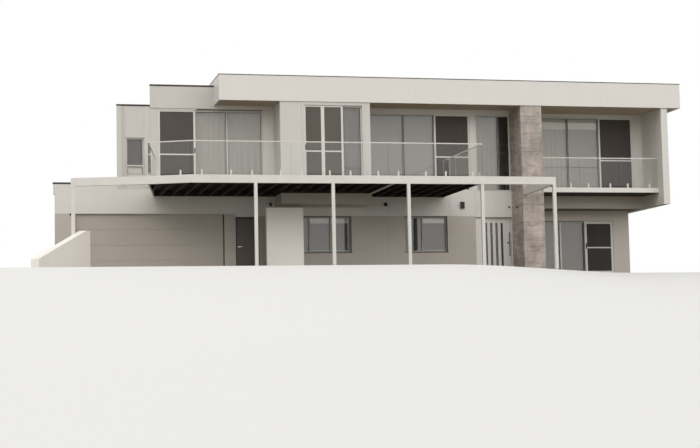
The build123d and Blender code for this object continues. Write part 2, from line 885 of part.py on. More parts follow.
def left_roof():
    """The left roof's sheet, inside its cap."""
    width = parapet_thickness + 2 * cap_overhang
    return infill(left_roof_plan(), left_wall_top, left_wall_top + soffit_thickness, width)


def garage_parapet():
    """The garage roof's parapet, with a band that hangs down outside the left wall."""
    outline = plan(garage_left - side_band_thickness, upper_left, 0, house_depth, True, True)
    parapet = ring(outline, side_band_bottom, garage_parapet_top, parapet_thickness)
    floor_edge = leaning(garage_left, fin_left, -1, house_depth + 1, side_band_bottom - 1, upper_floor_top)
    return parapet - floor_edge


def corners(edge):
    """The plan points of a rectangle."""
    x0, x1, y0, y1 = edge
    return [(x0, y0), (x1, y0), (x1, y1), (x0, y1)]


def grown(edge, distance):
    """A rectangle in plan, moved outwards on all four sides."""
    return (edge[0] - distance, edge[1] + distance, edge[2] - distance, edge[3] + distance)


def left_leg():
    """The leg under the front beam's left end, let into the back of the wing wall."""
    x = beam_left_end[0] + post_size / 2
    y = beam_left_end[1] - leg_offset
    half = post_size / 2
    return block(x - half, x + half, y - half, y + half, 0, beam_bottom)


def posts():
    """The row of posts under the front beam, and the leg under its left end."""
    half = post_size / 2
    places = [first_post + number * post_pitch for number in range(post_count)]
    row = [block(x - half, x + half, beam_y - half, beam_y + half, 0, beam_bottom) for x in places]
    return Compound(row + [left_leg()])


def side_beam():
    """The beam from the front beam's right end back to a bracket on the pillar."""
    front = beam_y + beam_width / 2
    back = -projection - bracket_thickness
    landing = pillar_left + side_beam_landing
    points = [(beam_right_end - beam_width, front), (beam_right_end, front), (landing + beam_width, back),
              (landing, back)]
    return slab(points, beam_bottom, upper_floor_top)


def side_beam_bracket():
    """The plate on the pillar that the side beam's back end is fixed to."""
    middle = pillar_left + side_beam_landing + beam_width / 2
    left = max(pillar_left, middle - bracket_width / 2)
    return block(left, middle + bracket_width / 2, -projection - bracket_thickness, -projection,
                 beam_bottom - bracket_drop, upper_floor_top)


def deck_and_frame():
    """The deck on its joists, and the white frame that carries it."""
    platform, joists, edges = deck()
    return {
        "front_beam": front_beam(),
        "side_beams": Compound(edges + [side_beam() + side_beam_bracket()]),
        "deck_posts": posts(),
        "deck_platform": platform,
        "deck_joists": Compound(joists),
    }


def deck_rail_line():
    """The plan line of the deck's balustrade: from the wall, round the deck's front and back again."""
    inset = spigot_size / 2
    left = beam_first_bend[0] + beam_width / 2 + inset
    return [
        (left - lean(beam_first_bend[1]), -rail_end_gap),
        (left, beam_first_bend[1]),
        beam_second_bend,
        (deck_right - inset, beam_y),
        (deck_right - inset, -rail_end_gap),
    ]


def balustrades():
    """The frameless glass round the deck, and the one along the right balcony."""
    edge = balcony_front + spigot_size
    deck_glass, deck_spigots, deck_rail = balustrade(deck_rail_line(), upper_floor_top,
                                                     [return_panels, 1, deck_panels, return_panels])
    balcony_line = [(pillar_right + rail_end_gap, edge), (fin_left, edge)]
    balcony_glass, balcony_spigots, balcony_rail = balustrade(balcony_line, balcony_top, [balcony_panels])
    return {
        "balustrade_glass": Compound(deck_glass + balcony_glass),
        "balustrade_spigots": Compound(deck_spigots + balcony_spigots),
        "balustrade_rails": Compound(deck_rail.solids() + balcony_rail.solids()),
        "balcony_slab": block(pillar_right, fin_left, balcony_front, right_wall_y,
                              balcony_top - balcony_thickness, balcony_top),
    }


def round_light(x, y_wall, z):
    """A round bulkhead light on a wall, with a rounded face."""
    body = Rot(90, 0, 0) * Cylinder(round_light_radius, round_light_depth)
    body = Pos(x, y_wall - round_light_depth / 2, z) * body
    front = body.edges().filter_by(GeomType.CIRCLE).sort_by(Axis.Y)[0]
    return fillet(front, round_light_rounding)


def spot_light(x, z, turns):
    """A spot light on the front wall: a round base, an arm, and a head for each turn about the vertical."""
    base = Pos(x, -spot_base_depth / 2, z) * Rot(90, 0, 0) * Cylinder(spot_base_radius, spot_base_depth)
    reach = spot_base_depth + spot_arm_length
    arm = Pos(x, -reach / 2, z) * Rot(90, 0, 0) * Cylinder(spot_radius / 3, reach)
    light = base + arm
    for turn in turns:
        shade = Cylinder(spot_radius, spot_length)
        shade -= Pos(0, 0, -spot_length / 2) * Cylinder(spot_radius - spot_lip, 2 * spot_recess)
        aimed = Rot(0, 0, turn) * Rot(-spot_tilt, 0, 0) * Pos(0, 0, -spot_length / 4) * shade
        light += Pos(x, -reach, z) * aimed
    return light


def box_light(x, z):
    """A box-shaped wall light, open above and below round a core."""
    half = box_light_width / 2
    top = z + box_light_height
    body = block(x - half, x + half, -box_light_depth, 0, z, top)
    inner = half - box_light_rim
    front = box_light_rim - box_light_depth
    body -= block(x - inner, x + inner, front, -box_light_rim, top - box_light_recess, top + 1)
    return body - block(x - inner, x + inner, front, -box_light_rim, z - 1, z + box_light_recess)


def pillar_light(y, z):
    """A round light on the pillar's left face."""
    return round_light(0, 0, 0).moved(Location((pillar_left, y, z), (0, 0, -90)))


def wall_lights():
    """The lights under the deck, placed from the openings that they stand beside."""
    turns = [-double_spot_turn, double_spot_turn]
    return Compound([
        round_light(garage_opening_left - garage_light_offset, 0, garage_light_height),
        spot_light(bay_left - side_spot_offset, side_spot_height, [0]),
        spot_light(bay_right + double_spot_offset, double_spot_height, turns),
        box_light(entry_left - entry_light_offset, entry_light_height),
        round_light(pillar_left - pillar_side_light_offset, 0, pillar_side_light_height),
        pillar_light(-projection / 2, pillar_light_height),
    ])


def screen_wall():
    """The low wall under the deck, with a return to the house at its right end."""
    right = side_opening_right + screen_width
    screen = block(side_opening_right, right, screen_front, screen_front + screen_thickness, 0, screen_top)
    return screen + block(right - screen_thickness, right, screen_front, 0, 0, screen_top)


def wing_wall():
    """A low wall beside the drive, its top falling away from the house."""
    high = Vector(*wing_high_end)
    low = Vector(*wing_low_end)
    along = high - low
    end = along.length
    side = make_face(Polyline((0, 0), (end, 0), (end, wing_high_top), (end - wing_level_length, wing_high_top),
                              (0, wing_low_top), close=True))
    plane = Plane(origin=(low.X, low.Y, 0), x_dir=along, z_dir=along.cross(Vector(0, 0, 1)))
    return extrude(plane * side, -wing_thickness) - left_leg()


def build():
    """All pieces by name, and the points that the hinged doors turn about."""
    hung, pivots = doors()
    pieces = {}
    for group in (floors(), lower_walls(), hung, lower_glazing(), upper_walls(), bay(), upper_glazing(),
                  screen_doors(), rear_glazing(), roofs(), deck_and_frame(), balustrades()):
        pieces.update(group)
    pieces["wall_lights"] = wall_lights()
    pieces["screen_wall"] = screen_wall()
    pieces["wing_wall"] = wing_wall()
    return pieces, pivots


def centring_shift(pieces):
    """The shift that puts the origin at the bottom centre of the whole house."""
    boxes = [piece.bounding_box() for piece in pieces.values()]
    left = min(box.min.X for box in boxes)
    right = max(box.max.X for box in boxes)
    front = min(box.min.Y for box in boxes)
    rear = max(box.max.Y for box in boxes)
    return Vector(-(left + right) / 2, -(front + rear) / 2, -min(box.min.Z for box in boxes))


def main():
    """Write each piece to its own file, and print where the hinged doors turn."""
    pieces, pivots = build()
    os.makedirs("parts", exist_ok=True)
    shift = centring_shift(pieces)
    for name, piece in pieces.items():
        export_step(piece.moved(Location(shift)), f"parts/{name}.step")
    print("shift", [round(value, 3) for value in shift])
    for name, point in pivots.items():
        print(name, "pivot", [round(place + move, 3) for place, move in zip(point, shift)])


main()
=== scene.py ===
"""Looks for the beach house: finishes, boards, sheets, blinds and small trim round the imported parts."""
import math

import bmesh
import bpy
from mathutils import Matrix, Vector

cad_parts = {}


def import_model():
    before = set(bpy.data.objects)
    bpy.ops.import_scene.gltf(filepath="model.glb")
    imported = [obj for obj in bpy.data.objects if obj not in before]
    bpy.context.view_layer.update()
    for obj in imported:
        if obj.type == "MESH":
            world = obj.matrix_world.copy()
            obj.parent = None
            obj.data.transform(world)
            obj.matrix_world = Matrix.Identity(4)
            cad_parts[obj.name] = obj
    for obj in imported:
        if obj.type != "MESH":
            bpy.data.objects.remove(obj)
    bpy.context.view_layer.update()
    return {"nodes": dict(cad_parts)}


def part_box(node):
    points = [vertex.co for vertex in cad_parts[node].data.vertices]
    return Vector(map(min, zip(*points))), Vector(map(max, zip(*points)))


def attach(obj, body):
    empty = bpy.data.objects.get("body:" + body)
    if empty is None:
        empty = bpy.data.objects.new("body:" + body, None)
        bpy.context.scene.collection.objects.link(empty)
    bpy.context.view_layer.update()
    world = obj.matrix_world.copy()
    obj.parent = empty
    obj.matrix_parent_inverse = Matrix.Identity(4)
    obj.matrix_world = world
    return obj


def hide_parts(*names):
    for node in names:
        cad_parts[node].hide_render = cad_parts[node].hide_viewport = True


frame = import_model()

# The camera, from the photo's vanishing points. Places are metres from the garage's outer front
# corner at ground level: x right along the front, y back, z up.
FRAME_WIDTH = 700
SENSOR = 36.0
FOCAL_PIXELS = 1500
CAMERA_PLACE = (-2.130, -53.240, -2.737)
CAMERA_YAW = math.radians(13.46)
CAMERA_PITCH = math.radians(4.91)
CAMERA_ROLL = math.radians(-1.22)
CLIP_END = 500.0

# The floor is level round the house and falls away in front, as the lawn does. Its crest comes
# nearer the house at the right, along a slanting line.
CREST_Y = -7.0
CREST_Y_RIGHT = -1.0
CREST_TURNS = (15.0, 22.0)
CREST_SLANT = 0.4
CREST_ROUNDING = 2.0
FALL = 0.1

# The floor's grid, from back to front and from left to right. It is fine where the crest bends.
FLOOR_REACH = 160.0
FLOOR_ROWS = [FLOOR_REACH, 60.0, 30.0, 20.0, 10.0]
FLOOR_ROWS += [-0.25 * number for number in range(80)]
FLOOR_ROWS += [-20.0 - 3.0 * number for number in range(47)]
FLOOR_COLUMNS = [-FLOOR_REACH, 0.0, *(5.0 + 0.5 * number for number in range(40)), FLOOR_REACH]

# The sky's tint, and its light at the horizon and from a height upwards
SKY_TINT = (0.97, 0.985, 1.0)
HORIZON_LIGHT = 1.2
ZENITH_LIGHT = 0.5
ZENITH_FROM = 0.5

# Lamps: name, strength, spread, tilt down from overhead, and turn from the front to the right. The
# last three are in degrees.
LAMP_TINT = (1.0, 0.985, 0.96)
LAMPS = (
    ("front_lamp", 0.84, 36.0, 63.0, -3.0),
    ("left_lamp", 0.95, 40.0, 42.0, -60.0),
    ("right_lamp", 0.62, 36.0, 68.0, 36.0),
    ("back_lamp", 0.6, 60.0, -55.0, 20.0),
)

# The left side leans in by this much over the house's depth
LEFT_INSET = 1.477

# Levels that the cladding follows
BASE = 0.02
BAND_LEVEL = 2.255
GARAGE_BAND_LEVEL = 2.323
UPPER_FLOOR = 3.195
LEFT_EAVES = 6.138
EAVES = 6.27

# Boards, sheets and panels. Those laid side by side have a pitch, a gap and a thickness.
BOARD_THICKNESS = 0.010
BOARD = (0.103, 0.006, BOARD_THICKNESS)
TRIM_WIDTH = 0.12
TRIM_THICKNESS = 0.016
APRON_PITCH = 0.155
DECK_BOARD = 0.088
DECK_GAP = 0.005
SHEET_THICKNESS = 0.008
SHEET = (2.4, 0.006, SHEET_THICKNESS)
GARAGE_SHEET = (2.4, 0.001, SHEET_THICKNESS)
PANEL_GAP = 0.004
PANEL_THICKNESS = 0.006
PANEL = (3.6, PANEL_GAP, PANEL_THICKNESS)
FASCIA_DRIP = 0.012
STONE_COURSE = 0.658
STONE_FIRST = 0.590
STONE_LAST = 0.2
STONE_GAP = 0.010
STONE_THICKNESS = 0.016
EDGE = 0.0015

# The wall beside the lower right frame stands this far in front of it
RIGHT_WALL_STEP = 0.012

# Joints where sheets and boards end, the shortest last board as a share of the pitch, and how near
# two places are when they count as one or as neighbours
JOINT = 0.004
FINE_JOINT = 0.002
DECK_EDGE_JOINT = 0.003
ENTRY_JOINT = 0.012
SHORTEST = 0.3
SAME = 0.01
NEAR = 0.1
WELD = 0.00005

# Flat roofs: the part, the height of its sheets, and how far inside its front and back to look for
# their corners
ROOFS = (
    ("roof_deck", 6.95, -0.001),
    ("mid_roof", 6.255, -0.001),
    ("left_roof", 6.255, -0.001),
    ("garage_parapet", UPPER_FLOOR, 0.1),
)
ROOF_THICKNESS = 0.004

# The sheets' ribs: half their width at foot and crown, and how near the left side they begin
RIB_PITCH = 0.25
RIB_HEIGHT = 0.028
RIB_HALVES = (0.02625, 0.0175)
RIB_MARGIN = 0.035

# Rubber round the panes: its depth, and its width on each part
GASKET_DEPTH = 0.012
GASKETS = (("upper_glass", 0.009), ("lower_glass", 0.005), ("rear_glass", 0.009))

# Trims on the left block's front with how far they stand out, a strip of painted shade between two of
# them, and the joints in the band beside the main roof
CORNER_TRIM = 0.16
CORNER_DEPTH = 0.014
SHADOW_STRIP = (2.352, 2.468)
SHADOW_DEPTH = 0.006
BRIGHT_STRIP = (3.140, 3.325)
BRIGHT_DEPTH = 0.018
STRIPS_FROM = 3.29
BAND_JOINTS = (1.322, 2.165)

# Dark trim at the lower windows, its head and right side also painted shade for the reveals: how far it
# stands out, how far it passes the frame to the left and right, and its heights from the frame's edge
SILL = (0.022, 0.02, 0.03, -0.018, 0.006)
HEAD = (0.014, 0.02, 0.012, -0.008, 0.010)
SIDE_SHADE_TRIM = 0.012

# Dark seals at the garage door, the right one also painted shade for the jamb's reveal: their width, and how
# far they stand out at the right side and at the foot
GARAGE_SEALS_AND_SHADE = (0.03, 0.02, 0.016)

# Dark joints between sliding panes: where the panes with them begin, how far a pane stands from its
# frame bar's edge and behind its face, and the joint's edges on the bar, its depth and its foot
DARK_JOINTS_FROM = 11.5
BAR_WIDTH = 0.055
BAR_FACE = 0.039
DARK_JOINT = (0.012, 0.043, 0.01, UPPER_FLOOR + 0.06)

# Boxes of painted shade: the dark line over the left panes, and the dark gap beside the right lower window's
# open sash
HEAD_SHADE_LINE = (5.03, 7.43, -0.008, 0.0, 6.092, 6.122)
SASH_GAP_SHADE = (13.072, 13.184, 0.046, 0.0595, 0.985, 2.18)

# Dark line of painted shade under the band over the lower right panes: its depth, its heights from the
# frame's top, and how far it ends before the leaf
GLAZING_SHADE_LINE = (0.014, -0.02, 0.01, 0.05)

# Dark strip of painted shadow beside the sliding leaf, which passes in front of it: its distances to the
# left of the leaf and behind it
LEAF_SHADOW_STRIP = (0.046, 0.008, 0.0055, 0.0105)

# Dark lines of painted shade round the front door's frame: depth, height at the head and width at the side
ENTRY_SHADE_LINE = (0.008, 0.022, 0.014)

# The balcony's dark underside, painted shade: how far inside the slab's edges and inside its back, and its
# thickness
UNDERSIDE = (0.02, 0.012, 0.006)

# The front door's small parts: the width and depth of the slots' dark rims, and the lock's place,
# half width, depth and half height
SLOT_RIM = (0.018, 0.004)
FRONT_LOCK = (16.735, 1.265)
LOCK_SIZE = (0.035, 0.012, 0.025)

# Handles of the screen doors: their places, and the grip's and plate's half width, depth and half
# height
SCREEN_HANDLES = ((4.944, 0.014, 4.62), (8.759, -1.204, 4.62))
GRIP = (0.014, 0.024, 0.07)
PLATE = (0.02, 0.004, 0.09)

# The sliding leaf's handle: its place on the leaf, and the grip's and plate's half width, depth and
# heights
SLIDER_PLACE = 0.06
SLIDER_PARTS = ((0.016, 0.026, 1.15, 1.31), (0.024, 0.004, 1.12, 1.34))

# The boards that carry the deck's joists, and the thickness of the black board of painted shade along the
# beam beside the bay with how far its foot is above the beam's
LEDGER_THICKNESS = 0.045
LEDGER_LEFT = 3.44
LEDGER_DROP = 0.012
BEAM_SHADE_BOARD = (0.012, 0.03)

# Curtains and blinds: the panes' part, the style, the share of the pane's height left open at the
# foot, and a place across each pane
HANGINGS = (
    ("upper_glass", "dusk", 0.0, 2.8),
    ("upper_glass", "sheer", 0.0, 5.5, 6.7),
    ("upper_glass", "shade", 0.0, 10.4),
    ("upper_glass", "roller", 0.02, 11.9, 13.3),
    ("upper_glass", "sheer", 0.0, 16.0, 18.5),
    ("upper_glass", "short", 0.86, 18.5),
    ("upper_glass", "roller", 0.02, 20.1),
    ("upper_glass", "short", 0.86, 20.1),
    ("lower_glass", "dim", 0.02, 8.8, 9.5, 10.2),
    ("lower_glass", "short", 0.85, 9.5, 10.2),
    ("lower_glass", "roller", 0.0, 13.25),
    ("lower_glass", "dim", 0.02, 13.8),
    ("lower_glass", "short", 0.85, 13.8),
    ("lower_glass", "dim", 0.02, 18.5, 19.9),
)

# Styles: the cloth, the depth of its folds and how far it hangs behind the pane
STYLES = {
    "sheer": ("sheer", 0.018, 0.07),
    "shade": ("dim_blind", 0.018, 0.07),
    "roller": ("blind", 0.0, 0.05),
    "dim": ("dim_blind", 0.0, 0.08),
    "dusk": ("dusk_blind", 0.0, 0.06),
    "short": ("pale_blind", 0.0, 0.045),
}

# A curtain's folds: their pitch, the columns in each, the rows, and how they drift. A flat blind has
# fewer.
FOLD_PITCH = 0.21
FOLD_COLUMNS = 14
FOLD_ROWS = 8
FOLD_DRIFT = (0.8, 2.3)
FLAT_COLUMNS = 6
FLAT_ROWS = 4

# How far cloth passes its pane, how far the left panel and the rear blinds hang from theirs, the bars
# at the blinds' feet, and how far back the front panes go
CLOTH_LAP = 0.02
PANEL_BEHIND = 0.02
REAR_BEHIND = 0.03
BAR_HALF_DEPTH = 0.008
BAR_HEIGHTS = (-0.014, 0.012)
REAR_BAR_HEIGHTS = (0.006, 0.03)
FRONT_PANES = 2.0

CORNER = Vector((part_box("front_piers")[0].x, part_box("front_piers")[0].y, 0.0))


def place(x, y, z):
    """A point in the frame, from one measured from the garage's outer front corner."""
    return CORNER + Vector((x, y, z))


def lean(y):
    """How far the left side has come in at a distance behind the front wall."""
    return LEFT_INSET * y / (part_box("upper_floor")[1].y - CORNER.y)


def camera():
    """The camera that took the photo."""
    data = bpy.data.cameras.new("camera")
    data.sensor_width = SENSOR
    data.lens = FOCAL_PIXELS / FRAME_WIDTH * SENSOR
    data.clip_end = CLIP_END
    piece = linked("camera", data)
    sin_yaw, cos_yaw = math.sin(CAMERA_YAW), math.cos(CAMERA_YAW)
    sin_pitch, cos_pitch = math.sin(CAMERA_PITCH), math.cos(CAMERA_PITCH)
    ahead = Vector((sin_yaw * cos_pitch, cos_yaw * cos_pitch, sin_pitch))
    level = Vector((cos_yaw, -sin_yaw, 0.0))
    above = level.cross(ahead)
    right = level * math.cos(CAMERA_ROLL) + above * math.sin(CAMERA_ROLL)
    up = above * math.cos(CAMERA_ROLL) - level * math.sin(CAMERA_ROLL)
    turn = Matrix((right, up, -ahead)).transposed().to_4x4()
    piece.matrix_world = Matrix.Translation(place(*CAMERA_PLACE)) @ turn
    bpy.context.scene.camera = piece


def linked(name, data):
    """A new object in the scene."""
    piece = bpy.data.objects.new(name, data)
    bpy.context.scene.collection.objects.link(piece)
    return piece


def mesh_piece(name, build, material, smooth=False):
    """A new object from a mesh that has been built."""
    data = bpy.data.meshes.new(name)
    build.to_mesh(data)
    build.free()
    data.materials.append(material)
    if smooth:
        for polygon in data.polygons:
            polygon.use_smooth = True
    return linked(name, data)


class Nodes:
    """A node tree, with short calls for the nodes used here."""

    def __init__(self, tree):
        self.tree = tree
        tree.nodes.clear()

    def feed(self, socket, value):
        """Links a socket to another one, or sets its number, vector or colour."""
        if isinstance(value, bpy.types.NodeSocket):
            self.tree.links.new(value, socket)
        elif socket.type == "RGBA":
            socket.default_value = (*value, 1.0)
        else:
            socket.default_value = value

    def node(self, kind, inputs=None):
        """A new node with its inputs fed."""
        made = self.tree.nodes.new("ShaderNode" + kind)
        for name, value in (inputs or {}).items():
            self.feed(made.inputs[name], value)
        return made

    def span(self, value, low, high, out_low, out_high):
        """A value's range from low to high, spread over another range."""
        inputs = {"Value": value, "From Min": low, "From Max": high, "To Min": out_low, "To Max": out_high}
        return self.node("MapRange", inputs).outputs["Result"]

    def math(self, operation, first, second):
        """Two values put together. The second is a socket or a number."""
        made = self.node("Math", {0: first, 1: second})
        made.operation = operation
        return made.outputs[0]


class Shader(Nodes):
    """A material's nodes round one surface."""

    def __init__(self, name, colour, roughness, metallic=0.0):
        self.material = bpy.data.materials.new(name)
        self.material.use_nodes = True
        super().__init__(self.material.node_tree)
        self.colour = colour
        inputs = {"Base Color": colour, "Roughness": roughness, "Metallic": metallic}
        self.surface = self.node("BsdfPrincipled", inputs)
        self.output = self.node("OutputMaterial", {"Surface": self.surface.outputs[0]})
        self.where = self.node("TexCoord").outputs["Object"]

    def put(self, name, value):
        """Feeds one of the surface's inputs."""
        self.feed(self.surface.inputs[name], value)

    def noise(self, scale, detail, stretch=None):
        """Noise from 0 to 1. A stretch scales the coordinates along each axis first."""
        where = self.where
        if stretch:
            where = self.node("Mapping", {"Scale": stretch, "Vector": where}).outputs[0]
        return self.node("TexNoise", {"Scale": scale, "Detail": detail, "Vector": where}).outputs["Fac"]

    def mix(self, share, first, second, mode="MIX"):
        """Two colours mixed. Each is a socket or a plain colour."""
        made = self.node("Mix")
        made.data_type = "RGBA"
        made.blend_type = mode
        sockets = [socket for socket in made.inputs if socket.enabled]
        for value, socket in zip((share, first, second), sockets):
            self.feed(socket, value)
        return [socket for socket in made.outputs if socket.enabled][0]

    def part(self, axis):
        """One coordinate of the place."""
        return self.node("SeparateXYZ", {0: self.where}).outputs[axis]

    def step(self, value, edge, falling=False):
        """1 past an edge and 0 before it, or the other way round."""
        return self.math("LESS_THAN" if falling else "GREATER_THAN", value, edge)

    def wave(self, axis, scale):
        """Even bands across an axis, from 0 to 1."""
        made = self.node("TexWave", {"Scale": scale, "Vector": self.where})
        made.bands_direction = axis
        return made.outputs["Fac"]

    def shade(self, value, amount, base=None):
        """The base colour, lighter and darker by an amount as a 0 to 1 value goes up and down."""
        base = base if base is not None else self.colour
        level = self.span(value, 0.25, 0.75, 1.0 - amount, 1.0 + amount)
        grey = self.node("CombineColor", {0: level, 1: level, 2: level})
        return self.mix(1.0, base, grey.outputs[0], "MULTIPLY")

    def wear(self, scale, detail, low, high):
        """Patches of roughness from low to high."""
        self.put("Roughness", self.span(self.noise(scale, detail), 0.3, 0.7, low, high))

    def bump(self, height, strength, distance):
        """A bump from a height socket, added to any bump there is."""
        made = self.node("Bump", {"Strength": strength, "Distance": distance, "Height": height})
        before = self.surface.inputs["Normal"].links
        if before:
            self.feed(made.inputs["Normal"], before[0].from_socket)
        self.put("Normal", made.outputs[0])


def srgb(*levels):
    """A colour written as 0 to 255 screen values, as the linear values that shaders take."""
    shares = [level / 255 for level in levels]
    return tuple(share / 12.92 if share <= 0.04045 else ((share + 0.055) / 1.055) ** 2.4 for share in shares)


def painted(name, colour, roughness=0.55, grain=260.0, mottle=0.02, streak=0.012):
    """Wall paint: a fine stipple, slow changes of tone, and faint runs of rain down the wall."""
    shader = Shader(name, colour, roughness)
    tone = shader.shade(shader.noise(0.9, 3.0), mottle)
    runs = shader.noise(1.0, 4.0, (7.0, 7.0, 0.35))
    shader.put("Base Color", shader.shade(runs, streak, tone))
    shader.wear(14.0, 3.0, roughness - 0.06, roughness + 0.08)
    shader.bump(shader.noise(grain, 2.0), 0.35, 0.0006)
    return shader.material


def coated(name, colour, roughness, metallic=0.0, dust=0.05):
    """Powder coat on metal: an even colour with a little dust, and a very fine ripple."""
    shader = Shader(name, colour, roughness, metallic)
    tone = shader.shade(shader.noise(2.2, 4.0), dust)
    shader.put("Base Color", shader.shade(shader.noise(45.0, 2.0), dust * 0.4, tone))
    shader.wear(30.0, 2.0, roughness - 0.05, roughness + 0.07)
    shader.bump(shader.noise(700.0, 1.0), 0.2, 0.0002)
    return shader.material


def concrete(name, colour, clouding=0.16, board_marks=0.0):
    """Off-form concrete: cloudy tones, fine pits and, where asked, the marks and smears of boards."""
    shader = Shader(name, colour, 0.8)
    tone = shader.shade(shader.noise(1.6, 6.0), clouding)
    tone = shader.shade(shader.noise(1.0, 5.0, (9.0, 9.0, 0.8)), clouding * 0.6, tone)
    tone = shader.shade(shader.noise(1.0, 3.0, (1.2, 1.2, 11.0)), clouding * 0.6, tone)
    pits = shader.noise(190.0, 3.0)
    tone = shader.shade(pits, 0.07, tone)
    if board_marks:
        smears = shader.span(shader.noise(1.0, 6.0, (3.5, 3.5, 6.5)), 0.5, 0.7, 0.0, 0.55)
        tone = shader.mix(smears, tone, srgb(112, 100, 92))
        shader.bump(shader.noise(1.0, 2.0, (28.0, 28.0, 1.5)), 0.5, board_marks)
    shader.put("Base Color", tone)
    shader.wear(6.0, 4.0, 0.7, 0.9)
    shader.bump(pits, 0.5, 0.0012)
    return shader.material


def timber(name, colour, underside):
    """Weathered boards along X: grain along their length, each board its own tone, and painted shade
    beneath.
    """
    shader = Shader(name, colour, 0.7)
    grain = shader.noise(1.0, 5.0, (2.0, 90.0, 90.0))
    tone = shader.shade(shader.noise(1.0, 1.0, (0.35, 10.8, 1.0)), 0.22)
    tone = shader.shade(grain, 0.2, tone)
    normal = shader.node("NewGeometry").outputs["Normal"]
    upward = shader.node("SeparateXYZ", {0: normal}).outputs["Z"]
    # Faces turned downwards take the second colour: painted shade.
    shaded_beneath = shader.step(upward, -0.5, falling=True)
    shader.put("Base Color", shader.mix(shaded_beneath, tone, underside))
    shader.bump(grain, 0.5, 0.0012)
    return shader.material


def glass(name, tint, index, lamp_share):
    """Clear glass that lets lamps and soft light through to what is behind it."""
    shader = Shader(name, tint, 0.0)
    shader.put("Transmission Weight", 1.0)
    shader.put("IOR", index)
    shader.wear(1.7, 3.0, 0.004, 0.02)
    rays = shader.node("LightPath").outputs
    either = shader.math("MAXIMUM", rays["Is Shadow Ray"], rays["Is Diffuse Ray"])
    clear = shader.node("BsdfTransparent", {"Color": (lamp_share, lamp_share, lamp_share)})
    both = shader.node("MixShader", {0: either, 1: shader.surface.outputs[0], 2: clear.outputs[0]})
    shader.feed(shader.output.inputs["Surface"], both.outputs[0])
    return shader.material


def mesh_screen(name, colour, lit_bay_colour=None, shaded_right_colour=None):
    """Security mesh in a screen door: a fine dark weave that hides most of what is behind it. Given more
    colours, it is lighter at the bay and darker further right: painted light and shade.
    """
    shader = Shader(name, colour, 0.6)
    along, across = (shader.wave(axis, 160.0) for axis in ("X", "Z"))
    both = shader.math("MULTIPLY", along, across)
    base = None
    if lit_bay_colour:
        # A lighter copy at the bay and a darker one to the right: painted light and shade.
        lit_at_bay, shaded_at_right = (shader.step(shader.part("X"), CORNER.x + edge) for edge in MESH_SHADE_CHANGES)
        base = shader.mix(shaded_at_right, shader.mix(lit_at_bay, colour, lit_bay_colour), shaded_right_colour)
    tone = shader.shade(shader.noise(0.8, 3.0, (1.0, 1.0, 0.5)), 0.14, base)
    shader.put("Base Color", shader.shade(both, 0.12, tone))
    shader.bump(both, 0.4, 0.0005)
    return shader.material


def fabric(name, colour):
    """Blind or curtain cloth: a fine weave and slow changes of tone."""
    shader = Shader(name, colour, 0.85)
    thread = shader.noise(1.0, 2.0, (500.0, 500.0, 30.0))
    across = shader.noise(1.0, 2.0, (30.0, 30.0, 500.0))
    tone = shader.shade(thread, 0.05)
    tone = shader.shade(across, 0.05, tone)
    shader.put("Base Color", shader.shade(shader.noise(0.8, 2.0), 0.05, tone))
    shader.bump(thread, 0.3, 0.0003)
    shader.put("Sheen Weight", 0.15)
    return shader.material


def door_with_lever(name, colour, metal, face):
    """A painted leaf. What stands out in front of its face is bright metal."""
    shader = Shader(name, colour, 0.4)
    lever = shader.step(shader.part("Y"), face, falling=True)
    tone = shader.shade(shader.noise(1.4, 3.0), 0.03)
    shader.put("Base Color", shader.mix(lever, tone, metal))
    shader.put("Metallic", lever)
    shader.put("Roughness", shader.span(lever, 0.0, 1.0, 0.42, 0.25))
    shader.bump(shader.noise(500.0, 2.0), 0.3, 0.0004)
    return shader.material


# Where along the front the screen doors' mesh changes to a lighter and then a darker copy of its colour:
# painted light and shade
MESH_SHADE_CHANGES = (7.0, 12.0)

# The side door's face, behind the front of its frame
DOOR_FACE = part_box("side_door_frame")[0].y + 0.044

GRASSY = srgb(128, 123, 105)
PALE_FLOOR = srgb(226, 225, 222)

MATERIALS = {}


def keep(kind, name, *values, on="", **options):
    """Makes a material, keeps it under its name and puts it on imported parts."""
    MATERIALS[name] = kind(name, *values, **options)
    for node in on.split():
        data = frame["nodes"][node].data
        data.materials.clear()
        data.materials.append(MATERIALS[name])


keep(painted, "white_wall", srgb(207, 203, 197),
     on="front_lintels upper_left_side upper_piers upper_lintels bay_shell bay_front right_fin_wall "
        "upper_rear_wall garage_parapet")
keep(painted, "soft_white", srgb(193, 189, 184), on="upper_left_front mid_roof")
# A lighter copy of the white paint on the screen and wing walls: painted light.
keep(painted, "warm_white", srgb(236, 230, 222), on="screen_wall wing_wall")
keep(painted, "white_board", srgb(199, 196, 190))
keep(painted, "bright_board", srgb(194, 191, 185), roughness=0.45)
keep(painted, "shadow_board", srgb(182, 178, 171))
keep(painted, "fascia", srgb(211, 207, 202), roughness=0.45, streak=0.006, mottle=0.012,
     on="roof_fascia balcony_slab")
keep(painted, "grey_wall", srgb(178, 170, 161), mottle=0.03,
     on="lower_front_wall front_piers lower_side_walls lower_rear_wall step_wall right_band")
